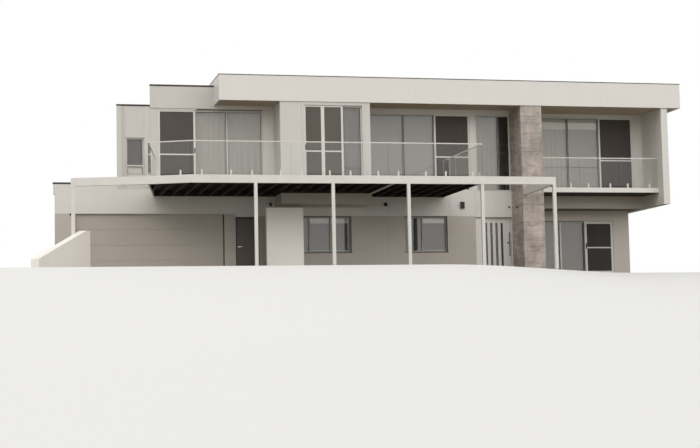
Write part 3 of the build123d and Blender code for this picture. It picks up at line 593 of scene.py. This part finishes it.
# A dark copy of the soffit paint under the right balcony: painted shade.
keep(painted, "under_board", srgb(98, 89, 78), on="right_soffit")
keep(painted, "soffit", srgb(190, 178, 160), roughness=0.65, on="roof_soffit")
keep(coated, "white_metal", srgb(208, 204, 198), 0.35,
     on="front_beam side_beams deck_posts balustrade_rails balustrade_spigots screen_doors")
keep(coated, "frame_metal", srgb(190, 186, 179), 0.4,
     on="bay_door_frame upper_frames lower_right_frame sliding_door rear_frames")
keep(coated, "window_metal", srgb(156, 151, 143), 0.45, on="lower_window_frames")
keep(coated, "dark_metal", srgb(40, 37, 35), 0.5, on="side_door_frame front_door_handle wall_lights")
keep(coated, "black_steel", srgb(36, 31, 28), 0.6, dust=0.12, on="deck_joists")
keep(coated, "cap_metal", srgb(60, 55, 50), 0.5, 0.2, on="roof_cap")
keep(painted, "door_paint", srgb(206, 202, 196), roughness=0.35, grain=500.0, on="front_door")
keep(painted, "panel_paint", srgb(214, 210, 203), roughness=0.4, grain=500.0, on="front_door_frame")
keep(door_with_lever, "dark_door", srgb(92, 82, 76), srgb(190, 188, 184), DOOR_FACE, on="side_door")
keep(painted, "garage_paint", srgb(172, 163, 153), roughness=0.42, grain=420.0, on="garage_door")
keep(concrete, "pillar", srgb(167, 157, 149), 0.26, board_marks=0.004, on="pillar")
keep(concrete, "concrete", srgb(150, 145, 138), on="ground_floor upper_floor")
# The deck's second colour is painted shade on the boards' undersides.
keep(timber, "deck_timber", srgb(128, 112, 96), srgb(30, 27, 25), on="deck_platform")
keep(coated, "roof_sheet", srgb(150, 148, 143), 0.45, 0.4, dust=0.1, on="roof_deck left_roof")
keep(coated, "gasket", srgb(34, 32, 30), 0.7)
keep(glass, "pane", srgb(243, 242, 239), 1.7, 0.8, on="front_door_glass lower_glass upper_glass rear_glass")
keep(glass, "rail_glass", srgb(250, 253, 250), 1.42, 0.92, on="balustrade_glass")
# The screen mesh is lighter at the bay and darker further right: painted light and shade.
keep(mesh_screen, "screen_mesh", srgb(78, 71, 65), srgb(90, 84, 78), srgb(66, 58, 54), on="screen_door_mesh")
keep(mesh_screen, "door_mesh", srgb(39, 35, 32), on="sliding_door_glass")
keep(fabric, "sheer", srgb(177, 172, 163))
keep(fabric, "blind", srgb(158, 152, 144))
keep(fabric, "pale_blind", srgb(240, 236, 227))
keep(fabric, "dim_blind", srgb(120, 115, 106))
keep(fabric, "dusk_blind", srgb(84, 72, 64))


def floor():
    """A pale floor, level round the house and falling away in front of it."""
    build = bmesh.new()
    turn_start, turn_end = CREST_TURNS
    rows = []
    for y in FLOOR_ROWS:
        row = []
        for x in FLOOR_COLUMNS:
            turn = min(1.0, max(0.0, (x - CREST_SLANT * y - turn_start) / (turn_end - turn_start)))
            crest = CREST_Y + (CREST_Y_RIGHT - CREST_Y) * turn * turn * (3.0 - 2.0 * turn)
            depth = max(0.0, crest - y)
            z = -FALL * (math.sqrt(depth ** 2 + CREST_ROUNDING ** 2) - CREST_ROUNDING)
            row.append(build.verts.new(place(x, y, z)))
        rows.append(row)
    for first, second in zip(rows, rows[1:]):
        for number in range(len(FLOOR_COLUMNS) - 1):
            build.faces.new((first[number], second[number], second[number + 1], first[number + 1]))
    bmesh.ops.recalc_face_normals(build, faces=build.faces)
    piece = mesh_piece("floor", build, floor_material(), smooth=True)


def floor_material():
    """Pale to the camera and through glass, and a grassy dimness for the light it throws back."""
    shader = Shader("floor", GRASSY, 0.9)
    rays = shader.node("LightPath").outputs
    seen = shader.math("MAXIMUM", rays["Is Camera Ray"], rays["Is Transmission Ray"])
    shader.put("Base Color", shader.mix(seen, GRASSY, PALE_FLOOR))
    return shader.material


def world():
    """An overcast sky, brightest near the horizon, that the camera, metal and glass see as white."""
    backdrop = bpy.data.worlds.new("sky")
    bpy.context.scene.world = backdrop
    backdrop.use_nodes = True
    sky = Nodes(backdrop.node_tree)
    rays = sky.node("LightPath").outputs
    seen = sky.math("MAXIMUM", rays["Is Camera Ray"], rays["Is Transmission Ray"])
    seen = sky.math("MAXIMUM", seen, rays["Is Glossy Ray"])
    around = sky.node("TexCoord").outputs["Generated"]
    height = sky.node("SeparateXYZ", {0: around}).outputs["Z"]
    level = sky.span(height, 0.0, ZENITH_FROM, HORIZON_LIGHT, ZENITH_LIGHT)
    light = sky.node("Background", {"Color": SKY_TINT, "Strength": level})
    white = sky.node("Background", {"Color": (1.0, 1.0, 1.0), "Strength": 1.0})
    both = sky.node("MixShader", {0: seen, 1: light.outputs[0], 2: white.outputs[0]})
    sky.node("OutputWorld", {"Surface": both.outputs[0]})


def lamp(name, strength, angle, tilt, turn):
    """A soft distant lamp that panes don't mirror. Tilt is from overhead, turn is from the front."""
    data = bpy.data.lights.new(name, "SUN")
    data.energy = strength
    data.angle = math.radians(angle)
    data.color = LAMP_TINT
    piece = linked(name, data)
    piece.rotation_euler = (math.radians(tilt), 0.0, math.radians(turn))
    piece.visible_glossy = False
    piece.visible_transmission = False


class Boxes:
    """Many small boxes that become one mesh."""

    def __init__(self):
        self.build = bmesh.new()

    def add(self, x0, x1, y0, y1, z0, z1):
        """One box, in metres from the garage's outer front corner."""
        corners = [place(x, y, z) for z in (z0, z1) for x, y in ((x0, y0), (x1, y0), (x1, y1), (x0, y1))]
        self.add_corners(corners)

    def ring(self, x0, x1, y0, y1, z0, z1, width):
        """Four boxes round the inside of an upright opening's edge."""
        self.add(x0, x0 + width, y0, y1, z0, z1)
        self.add(x1 - width, x1, y0, y1, z0, z1)
        self.add(x0 + width, x1 - width, y0, y1, z0, z0 + width)
        self.add(x0 + width, x1 - width, y0, y1, z1 - width, z1)

    def add_corners(self, corners):
        """One box from eight corners: four round its base, then four round its top."""
        made = [self.build.verts.new(corner) for corner in corners]
        for ring in ((3, 2, 1, 0), (4, 5, 6, 7), (0, 1, 5, 4), (1, 2, 6, 5), (2, 3, 7, 6), (3, 0, 4, 7)):
            self.build.faces.new([made[index] for index in ring])

    def finish(self, name, material, body="house", edge=EDGE):
        """The mesh as a piece with eased edges."""
        bmesh.ops.recalc_face_normals(self.build, faces=self.build.faces)
        if edge:
            bmesh.ops.bevel(self.build, geom=list(self.build.edges), offset=edge, segments=1,
                            affect="EDGES", clamp_overlap=True)
        piece = mesh_piece(name, self.build, MATERIALS[material])
        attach(piece, body)
        return piece


def spans(start, end, pitch):
    """The stretches between the joints of boards laid at a pitch from start to end."""
    edges = [start]
    while edges[-1] + pitch < end - pitch * SHORTEST:
        edges.append(edges[-1] + pitch)
    edges.append(end)
    return list(zip(edges, edges[1:]))


def local_box(node):
    """A part's corners, in metres from the garage's outer front corner."""
    low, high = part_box(node)
    return low - CORNER, high - CORNER


def islands(node):
    """The boxes of a part's separate solids, in metres from the garage's outer front corner."""
    data = frame["nodes"][node].data
    build = bmesh.new()
    build.from_mesh(data)
    bmesh.ops.remove_doubles(build, verts=build.verts, dist=WELD)
    seen = set()
    found = []
    for vertex in build.verts:
        if vertex.index in seen:
            continue
        group = []
        waiting = [vertex]
        seen.add(vertex.index)
        while waiting:
            current = waiting.pop()
            group.append(current.co.copy())
            for edge in current.link_edges:
                other = edge.other_vert(current)
                if other.index not in seen:
                    seen.add(other.index)
                    waiting.append(other)
        axes = list(zip(*group))
        found.append([Vector([pick(axis) for axis in axes]) - CORNER for pick in (min, max)])
    build.free()
    return found


def gaskets():
    """Dark rubber round each fixed pane, just proud of the frame."""
    for node, width in GASKETS:
        boxes = Boxes()
        for low, high in islands(node):
            for front in (low.y - GASKET_DEPTH, high.y):
                boxes.ring(low.x, high.x, front, front + GASKET_DEPTH, low.z, high.z, width)
        boxes.finish(node + "_gaskets", "gasket", edge=0)


def deck_boards():
    """The deck's boards, laid along the front with gaps, cut to the deck's outline."""
    low, high = local_box("deck_platform")
    bay_low, bay_high = local_box("bay_front")
    data = frame["nodes"]["deck_platform"].data
    top = [vertex.co - CORNER for vertex in data.vertices if vertex.co.z > high.z - SAME]
    left = [point for point in top if point.x < bay_low.x - 1.0]
    left_side = sorted({(round(point.y, 4), round(point.x, 4)) for point in left})
    boxes = Boxes()
    y = high.y - JOINT
    while y - DECK_BOARD > low.y:
        front = y - DECK_BOARD
        left = max(left_edge(left_side, front), left_edge(left_side, y))
        pieces = [(left, high.x - JOINT)]
        if y > bay_low.y:
            pieces = [(left, bay_low.x - JOINT), (bay_high.x + JOINT, high.x - JOINT)]
        for start, end in pieces:
            boxes.add(start, end, front, y, low.z, high.z)
        y = front - DECK_GAP
    piece = boxes.finish("deck_boards", "deck_timber", edge=0.003)
    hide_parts("deck_platform")


def left_edge(points, y):
    """Where boards end at the deck's left edge, from its corners' y and x, front to back."""
    for (y0, x0), (y1, x1) in zip(points, points[1:]):
        if y0 <= y <= y1 and y1 > y0:
            return x0 + (x1 - x0) * (y - y0) / (y1 - y0) + DECK_EDGE_JOINT
    nearest = points[0] if y < points[0][0] else points[-1]
    return nearest[1] + DECK_EDGE_JOINT


class Face:
    """An upright wall face for cladding. Seen from above, its outside is on the right of its run."""

    def __init__(self, start, end):
        self.start = Vector(start)
        run = Vector(end) - self.start
        self.length = run.length
        self.along = run.normalized()
        self.out = Vector((self.along.y, -self.along.x))

    def point(self, u, out, z):
        """A point from its distance along the face, its distance out of it and its height."""
        flat = self.start + self.along * u + self.out * out
        return place(flat.x, flat.y, z)

    def add(self, boxes, u0, u1, z0, z1, thickness):
        """One flat piece on the face."""
        base = [(u0, 0.0), (u1, 0.0), (u1, thickness), (u0, thickness)]
        boxes.add_corners([self.point(u, out, z) for z in (z0, z1) for u, out in base])

    def hole(self, low, high):
        """A box's stretch along the face, and its heights."""
        ends = sorted((Vector((x, low.y)) - self.start).dot(self.along) for x in (low.x, high.x))
        return (ends[0], ends[1], low.z, high.z)

    def clad(self, boxes, z0, z1, pitch, gap, thickness, holes=()):
        """Sheets side by side, cut round the holes."""
        for u0, u1 in spans(0.0, self.length, pitch):
            sheet = (u0 + gap / 2, u1 - gap / 2, z0, z1)
            for part in cut_out(sheet, holes):
                self.add(boxes, *part, thickness)


def bay_cladding():
    """Upright boards on the bay, and trim round its door opening."""
    low, high = local_box("bay_front")
    frame_low, frame_high = local_box("bay_door_frame")
    boxes = Boxes()
    trim = Boxes()
    apron = Boxes()
    bottom = UPPER_FLOOR + JOINT
    top = EAVES - JOINT
    front = low.y
    left_jamb = frame_low.x - TRIM_WIDTH
    right_jamb = frame_high.x + TRIM_WIDTH
    left = Face((low.x, -SAME), (low.x, front))
    right = Face((high.x, front), (high.x, -SAME))
    beside_left = Face((low.x, front), (left_jamb, front))
    beside_right = Face((right_jamb, front), (high.x, front))
    for face in (left, right, beside_left, beside_right):
        face.clad(boxes, bottom, top, *BOARD)
    across = Face((left_jamb, front), (right_jamb, front))
    across.add(trim, 0.0, TRIM_WIDTH, bottom, top, TRIM_THICKNESS)
    across.add(trim, across.length - TRIM_WIDTH, across.length, bottom, top, TRIM_THICKNESS)
    across.add(trim, TRIM_WIDTH, across.length - TRIM_WIDTH, frame_high.z, top, TRIM_THICKNESS)
    boxes.finish("bay_boards", "white_board")
    trim.finish("bay_trim", "bright_board")
    for face in (left, right, Face((low.x, front), (high.x, front))):
        for z0, z1 in spans(low.z, UPPER_FLOOR, APRON_PITCH):
            face.add(apron, 0.0, face.length, z0 + JOINT, z1, BOARD_THICKNESS)
    apron.finish("bay_apron", "grey_wall")


def lower_cladding():
    """Cladding sheets on the lower walls: grey below and white above, with fine joints."""
    low, high = local_box("lower_front_wall")
    depth = local_box("upper_floor")[1].y
    right = local_box("lower_side_walls")[1].x
    right_wall = local_box("lower_right_frame")[0].y - RIGHT_WALL_STEP
    top = UPPER_FLOOR - FINE_JOINT
    grey = Boxes()
    white = Boxes()
    front = Face((low.x, 0.0), (high.x, 0.0))
    rear = Face((right, depth), (lean(depth), depth))
    faces = [
        (front, BAND_LEVEL, [front.hole(*box) for box in islands("lower_window_frames")]),
        (rear, BAND_LEVEL, [rear.hole(*box) for box in islands("rear_frames")]),
        (Face((lean(depth), depth), (0.0, 0.0)), GARAGE_BAND_LEVEL, []),
        (Face((right, right_wall), (right, depth)), BAND_LEVEL, []),
    ]
    for face, level, cuts in faces:
        face.clad(grey, BASE, level - JOINT, *SHEET, cuts)
        face.clad(white, level, top, *SHEET, cuts)
    for start, end in islands("front_piers"):
        if end.y < 1.0:
            pier = Face((start.x, 0.0), (end.x, 0.0))
            pier.clad(grey, BASE, GARAGE_BAND_LEVEL - JOINT, *SHEET)
    parapet_top = local_box("garage_parapet")[1].z
    parapet_end = local_box("upper_left_front")[0].x
    door_top = local_box("garage_door")[1].z + JOINT
    garage = Face((0.0, 0.0), (low.x, 0.0))
    above_deck = [(parapet_end - JOINT, low.x + 1.0, top, parapet_top)]
    garage.clad(white, door_top, parapet_top - JOINT, *GARAGE_SHEET, above_deck)
    pillar_low, pillar_high = local_box("pillar")
    entry = Face((high.x, 0.0), (pillar_low.x, 0.0))
    entry.clad(white, local_box("front_door_frame")[1].z + ENTRY_JOINT, top, *SHEET)
    across = Face((pillar_high.x, right_wall), (right, right_wall))
    across.clad(grey, local_box("lower_right_frame")[1].z, local_box("right_band")[0].z, *SHEET)
    grey.finish("lower_sheets", "grey_wall")
    white.finish("lower_band_sheets", "white_wall")


def upper_cladding():
    """White sheets on the upper storey's side and rear walls, and panels on the band beside the roof."""
    depth = local_box("upper_floor")[1].y
    start = local_box("upper_left_front")[0].x
    fin_low, fin_high = local_box("right_fin_wall")
    white = Boxes()
    left = Face((start + lean(depth), depth), (start, 0.0))
    left.clad(white, UPPER_FLOOR, LEFT_EAVES, *SHEET)
    rear = Face((fin_high.x, depth), (start + lean(depth), depth))
    rear.clad(white, UPPER_FLOOR, LEFT_EAVES, *SHEET, [rear.hole(*box) for box in islands("rear_frames")])
    overhang = fin_high.x - local_box("lower_side_walls")[1].x - SHEET_THICKNESS
    rear.add(white, 0.0, overhang, fin_low.z, UPPER_FLOOR, SHEET_THICKNESS)
    right = Face((fin_high.x, fin_low.y), (fin_high.x, depth))
    right.clad(white, fin_low.z, EAVES, *SHEET)
    white.finish("upper_sheets", "white_wall")
    low, high = local_box("mid_roof")
    band = Boxes()
    front = Face((low.x, low.y), (high.x, low.y))
    for u0, u1 in zip((0.0, *BAND_JOINTS), (*BAND_JOINTS, front.length)):
        front.add(band, u0 + PANEL_GAP / 2, u1 - PANEL_GAP / 2, low.z, high.z, PANEL_THICKNESS)
    side = Face((low.x + lean(depth), depth), (low.x, low.y))
    side.clad(band, low.z, high.z, *PANEL)
    back = Face((high.x, depth), (low.x + lean(depth), depth))
    back.clad(band, low.z, high.z, *PANEL)
    band.finish("mid_band_panels", "soft_white")


def left_block_trims():
    """Upright trims on the left block's front, and a darker strip of painted shade between two of them."""
    low, high = local_box("upper_left_front")
    top = LEFT_EAVES - FINE_JOINT
    bright = Boxes()
    bright.add(low.x, low.x + CORNER_TRIM, -CORNER_DEPTH, 0.0, STRIPS_FROM, high.z)
    bright.add(*BRIGHT_STRIP, -BRIGHT_DEPTH, 0.0, STRIPS_FROM, top)
    bright.finish("left_trims", "bright_board")
    # A darker strip standing in for the shade of a recess: painted shade.
    shadow = Boxes()
    shadow.add(*SHADOW_STRIP, -SHADOW_DEPTH, 0.0, STRIPS_FROM, top)
    shadow.finish("left_shade_strip", "shadow_board")


def cut_out(rectangle, holes):
    """A rectangle's parts that lie outside the holes. Each is x0, x1, z0, z1."""
    parts = [rectangle]
    for hx0, hx1, hz0, hz1 in holes:
        left = []
        for x0, x1, z0, z1 in parts:
            if hx1 <= x0 or hx0 >= x1 or hz1 <= z0 or hz0 >= z1:
                left.append((x0, x1, z0, z1))
                continue
            if hz0 > z0:
                left.append((x0, x1, z0, hz0))
            if hz1 < z1:
                left.append((x0, x1, hz1, z1))
            middle_low, middle_high = max(z0, hz0), min(z1, hz1)
            if hx0 > x0:
                left.append((x0, hx0, middle_low, middle_high))
            if hx1 < x1:
                left.append((hx1, x1, middle_low, middle_high))
        parts = left
    return parts


def fascia_panels():
    """Folded panels over the roof's fascia, with fine joints."""
    low, high = local_box("roof_fascia")
    boxes = Boxes()
    corners = [(low.x, low.y), (high.x, low.y), (high.x, high.y), (low.x, high.y)]
    for start, end in zip(corners, corners[1:] + corners[:1]):
        face = Face(start, end)
        face.clad(boxes, low.z - FASCIA_DRIP, high.z, *PANEL)
    boxes.finish("fascia_panels", "fascia")


def roof_outline(node, level, margin):
    """A flat roof at a height inside its edges: its x's at the front and at the back, then its y's."""
    points = [vertex.co - CORNER for vertex in frame["nodes"][node].data.vertices]
    points = [point for point in points if abs(point.z - level) < SAME / 2]
    front_most = min(point.y for point in points) + margin
    back_most = max(point.y for point in points) - margin
    inside = [point for point in points if front_most <= point.y <= back_most]
    y0 = min(point.y for point in inside)
    y1 = max(point.y for point in inside)
    front = sorted(point.x for point in inside if point.y - y0 < SAME)
    back = sorted(point.x for point in inside if y1 - point.y < SAME)
    return front[0], front[-1], back[0], back[-1], y0, y1


def roof_sheets():
    """Ribbed sheets on each roof. The ribs follow its right side and stop at its left one."""
    for node, level, margin in ROOFS:
        front_left, front_right, back_left, back_right, y0, y1 = roof_outline(node, level, margin)
        boxes = Boxes()
        top = level + ROOF_THICKNESS
        base = [(front_left, y0), (front_right, y0), (back_right, y1), (back_left, y1)]
        boxes.add_corners([place(x, y, z) for z in (level, top) for x, y in base])
        slope = (back_right - front_right) / (y1 - y0)
        closing = (back_left - front_left) / (y1 - y0) - slope
        x = front_right - RIB_PITCH / 2
        while x > front_left + RIB_MARGIN:
            end = y1
            if closing > 0.001:
                end = min(y1, y0 + (x - front_left - RIB_MARGIN) / closing)
            front, back = (x, y0), (x + slope * (end - y0), end)
            boxes.add_corners([
                place(x0 + side * half, y, z)
                for z, half in zip((top, level + RIB_HEIGHT), RIB_HALVES)
                for (x0, y), side in ((front, -1), (front, 1), (back, 1), (back, -1))
            ])
            x -= RIB_PITCH
        boxes.finish(node + "_sheets", "roof_sheet", edge=0)


def pillar_panels():
    """Tall concrete panels round the pillar, in courses with open joints."""
    low, high = local_box("pillar")
    edges = [0.0]
    level = STONE_FIRST
    while level < high.z - STONE_LAST:
        edges.append(level)
        level += STONE_COURSE
    edges.append(high.z - JOINT)
    boxes = Boxes()
    t = STONE_THICKNESS
    back = high.y - JOINT
    for z0, z1 in zip(edges, edges[1:]):
        boxes.add(low.x - t, high.x + t, low.y - t, low.y, z0 + STONE_GAP, z1)
        boxes.add(low.x - t, low.x, low.y, back, z0 + STONE_GAP, z1)
        boxes.add(high.x, high.x + t, low.y, back, z0 + STONE_GAP, z1)
    boxes.finish("pillar_panels", "pillar", edge=0.003)


def interlocked():
    """The upper panes, from the left, that meet another pane at a dark joint on their left."""
    panes = sorted(islands("upper_glass"), key=lambda box: box[0].x)
    ends = [high.x + BAR_WIDTH for low, high in panes]
    panes = [box for box in panes if box[0].x > DARK_JOINTS_FROM]
    return [box for box in panes if any(abs(end - box[0].x) < SAME for end in ends)]


def dark_trims_and_shade():
    """Dark sills at the lower windows with strips of painted shade at their heads and right sides, seals at
    the garage door with the right one also painted shade, dark joints between sliding panes, and dark lines
    of painted shade and shadow at the frames.
    """
    dark = Boxes()
    # Dark sills, with heads and right sides also painted shade of the reveals.
    for low, high in islands("lower_window_frames"):
        depth, left, right, under, over = SILL
        dark.add(low.x - left, high.x + right, -depth, 0.0, low.z + under, low.z + over)
        dark.add(high.x - SIDE_SHADE_TRIM, high.x + SIDE_SHADE_TRIM, -SIDE_SHADE_TRIM, 0.0, low.z, high.z)
        depth, left, right, under, over = HEAD
        dark.add(low.x - left, high.x + right, -depth, 0.0, high.z + under, high.z + over)
    # Dark seals at the garage door; the right one is also painted shade for the reveal.
    low, high = local_box("garage_door")
    width, side, foot = GARAGE_SEALS_AND_SHADE
    dark.add(high.x - width, high.x - FINE_JOINT, low.y - side, low.y, low.z, high.z)
    dark.add(low.x, high.x - width, low.y - foot, low.y, low.z, low.z + width)
    left, right, depth, foot = DARK_JOINT
    for low, high in interlocked():
        x, face = low.x - BAR_WIDTH, low.y - BAR_FACE
        dark.add(x + left, x + right, face - depth, face, foot, high.z)
    # Painted shade: the dark line over the left panes, and the dark gap at the open sash.
    dark.add(*HEAD_SHADE_LINE)
    dark.add(*SASH_GAP_SHADE)
    # Painted shade over the lower right panes, and painted shadow beside the sliding leaf.
    low, high = local_box("lower_right_frame")
    leaf_low, leaf_high = local_box("sliding_door")
    depth, under, over, before = GLAZING_SHADE_LINE
    dark.add(low.x, leaf_low.x - before, low.y - depth, low.y, high.z + under, high.z + over)
    far, near, front, back = LEAF_SHADOW_STRIP
    x, y = leaf_low.x, leaf_high.y
    dark.add(x - far, x - near, y + front, y + back, leaf_low.z, leaf_high.z)
    # Painted shade round the front door's frame.
    low, high = local_box("front_door_frame")
    depth, height, width = ENTRY_SHADE_LINE
    dark.add(low.x, high.x, low.y - depth, low.y, high.z - height, high.z)
    dark.add(low.x, low.x + width, low.y - depth, low.y, low.z, high.z - height)
    dark.finish("dark_trims_and_shade", "dark_metal", edge=0.001)


def balcony_shade_sheet():
    """A dark sheet of painted shade under the balcony's slab."""
    low, high = local_box("balcony_slab")
    inset, behind, thickness = UNDERSIDE
    under = Boxes()
    under.add(low.x + inset, high.x - inset, low.y + inset, high.y - behind, low.z - thickness, low.z)
    under.finish("balcony_shade_sheet", "black_steel", edge=0.001)


def door_handles():
    """Handles of the screen doors and of the sliding leaf: a grip on a plate."""
    handles = Boxes()
    for x, y, z in SCREEN_HANDLES:
        for half, depth, reach in (GRIP, PLATE):
            handles.add(x - half, x + half, y - depth, y, z - reach, z + reach)
    handles.finish("screen_handles", "dark_metal", edge=0.003)
    slider = Boxes()
    low = local_box("sliding_door")[0]
    x = low.x + SLIDER_PLACE
    for half, depth, z0, z1 in SLIDER_PARTS:
        slider.add(x - half, x + half, low.y - depth, low.y, z0, z1)
    slider.finish("sliding_handle", "dark_metal", body="sliding_door_leaf", edge=0.003)


def front_door_parts():
    """Dark surrounds round the front door's slots, and its lock."""
    surrounds = Boxes()
    face = local_box("front_door")[0].y
    rim, depth = SLOT_RIM
    for low, high in islands("front_door_glass"):
        surrounds.ring(low.x - rim, high.x + rim, face - depth, face, low.z - rim, high.z + rim, rim)
    x, z = FRONT_LOCK
    width, depth, height = LOCK_SIZE
    surrounds.add(x - width, x + width, face - depth, face, z - height, z + height)
    surrounds.finish("front_door_surrounds", "dark_metal", body="front_door_leaf", edge=0.001)


def deck_ledgers():
    """Black boards that carry the joists' ends along the wall and round the bay, and a black board of
    painted shade on the side of the beam beside the bay.
    """
    low, high = local_box("deck_joists")
    bay_low, bay_high = local_box("bay_front")
    t = LEDGER_THICKNESS
    z0 = low.z - LEDGER_DROP
    z1 = high.z - 0.001
    wall = -SHEET_THICKNESS
    front = bay_low.y - BOARD_THICKNESS
    left, right = bay_low.x - BOARD_THICKNESS, bay_high.x + BOARD_THICKNESS
    ledgers = Boxes()
    ledgers.add(LEDGER_LEFT, left - t, wall - t, wall, z0, z1)
    ledgers.add(right + t, high.x, wall - t, wall, z0, z1)
    ledgers.add(left - t, left, front - t, wall, z0, z1)
    ledgers.add(right, right + t, front - t, wall, z0, z1)
    ledgers.add(left, right, front - t, front, z0, z1)
    # A black board on the beam's side beside the bay: painted shade.
    thickness, foot = BEAM_SHADE_BOARD
    for low, high in islands("side_beams"):
        if abs(high.x - bay_high.x) < NEAR and high.y < bay_low.y + NEAR:
            ledgers.add(low.x - thickness, low.x, low.y, high.y, low.z + foot, z1)
    ledgers.finish("deck_ledgers", "black_steel", edge=0.002)


def curtain(name, x0, x1, y, z0, z1, cloth, fold=0.0):
    """A blind or curtain behind a pane. Its folds deepen downwards, and a fold of 0 is a flat blind."""
    columns = round((x1 - x0) / FOLD_PITCH * FOLD_COLUMNS) if fold else FLAT_COLUMNS
    rows = FOLD_ROWS if fold else FLAT_ROWS
    drift, drift_rate = FOLD_DRIFT
    build = bmesh.new()
    lines = []
    for row in range(rows + 1):
        z = z1 + (z0 - z1) * row / rows
        depth = fold * (0.5 + 0.5 * row / rows)
        line = []
        for column in range(columns + 1):
            x = x0 + (x1 - x0) * column / columns
            turn = 2 * math.pi * x / FOLD_PITCH + drift * math.sin(drift_rate * x)
            line.append(build.verts.new(place(x, y + depth * math.sin(turn), z)))
        lines.append(line)
    for above, below in zip(lines, lines[1:]):
        for number in range(columns):
            build.faces.new((above[number], above[number + 1], below[number + 1], below[number]))
    build.normal_update()
    piece = mesh_piece(name, build, MATERIALS[cloth], smooth=True)
    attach(piece, "house")


def blinds():
    """Curtains and blinds close behind the panes, and a bar along each blind's foot."""
    bars = Boxes()
    half = BAR_HALF_DEPTH
    foot, head = BAR_HEIGHTS
    for node, style, open_share, *places in HANGINGS:
        cloth, fold, behind = STYLES[style]
        for x in places:
            found = [box for box in islands(node) if box[0].x < x < box[1].x and box[0].y < FRONT_PANES]
            low, high = max(found, key=lambda box: box[0].z)
            name = f"hanging_{node}_{round(x * 10)}_{style}"
            y = high.y + behind
            x0, x1 = low.x - CLOTH_LAP, high.x + CLOTH_LAP
            z0 = low.z + (high.z - low.z) * open_share + JOINT
            curtain(name, x0, x1, y, z0, high.z, cloth, fold)
            if not fold:
                bars.add(x0, x1, y - half, y + half, z0 + foot, z0 + head)
    low, high = min(islands("upper_glass"), key=lambda box: (box[0].x, box[0].z))
    x0, x1 = low.x - CLOTH_LAP, high.x + CLOTH_LAP
    curtain("hanging_left_panel", x0, x1, high.y + PANEL_BEHIND, low.z, high.z, "pale_blind")
    foot, head = REAR_BAR_HEIGHTS
    for number, (low, high) in enumerate(islands("rear_frames")):
        y = low.y - REAR_BEHIND
        x0, x1 = low.x + CLOTH_LAP, high.x - CLOTH_LAP
        z0, z1 = low.z + CLOTH_LAP, high.z - CLOTH_LAP
        curtain(f"hanging_rear_{number}", x0, x1, y, z0, z1, "dim_blind")
        bars.add(x0, x1, y - half, y + half, low.z + foot, low.z + head)
    bars.finish("blind_bars", "white_metal", edge=0.002)


camera()
floor()
world()
for row in LAMPS:
    lamp(*row)
gaskets()
deck_boards()
bay_cladding()
lower_cladding()
upper_cladding()
left_block_trims()
fascia_panels()
roof_sheets()
pillar_panels()
dark_trims_and_shade()
balcony_shade_sheet()
door_handles()
front_door_parts()
deck_ledgers()
blinds()

bpy.context.scene.view_settings.view_transform = "Standard"
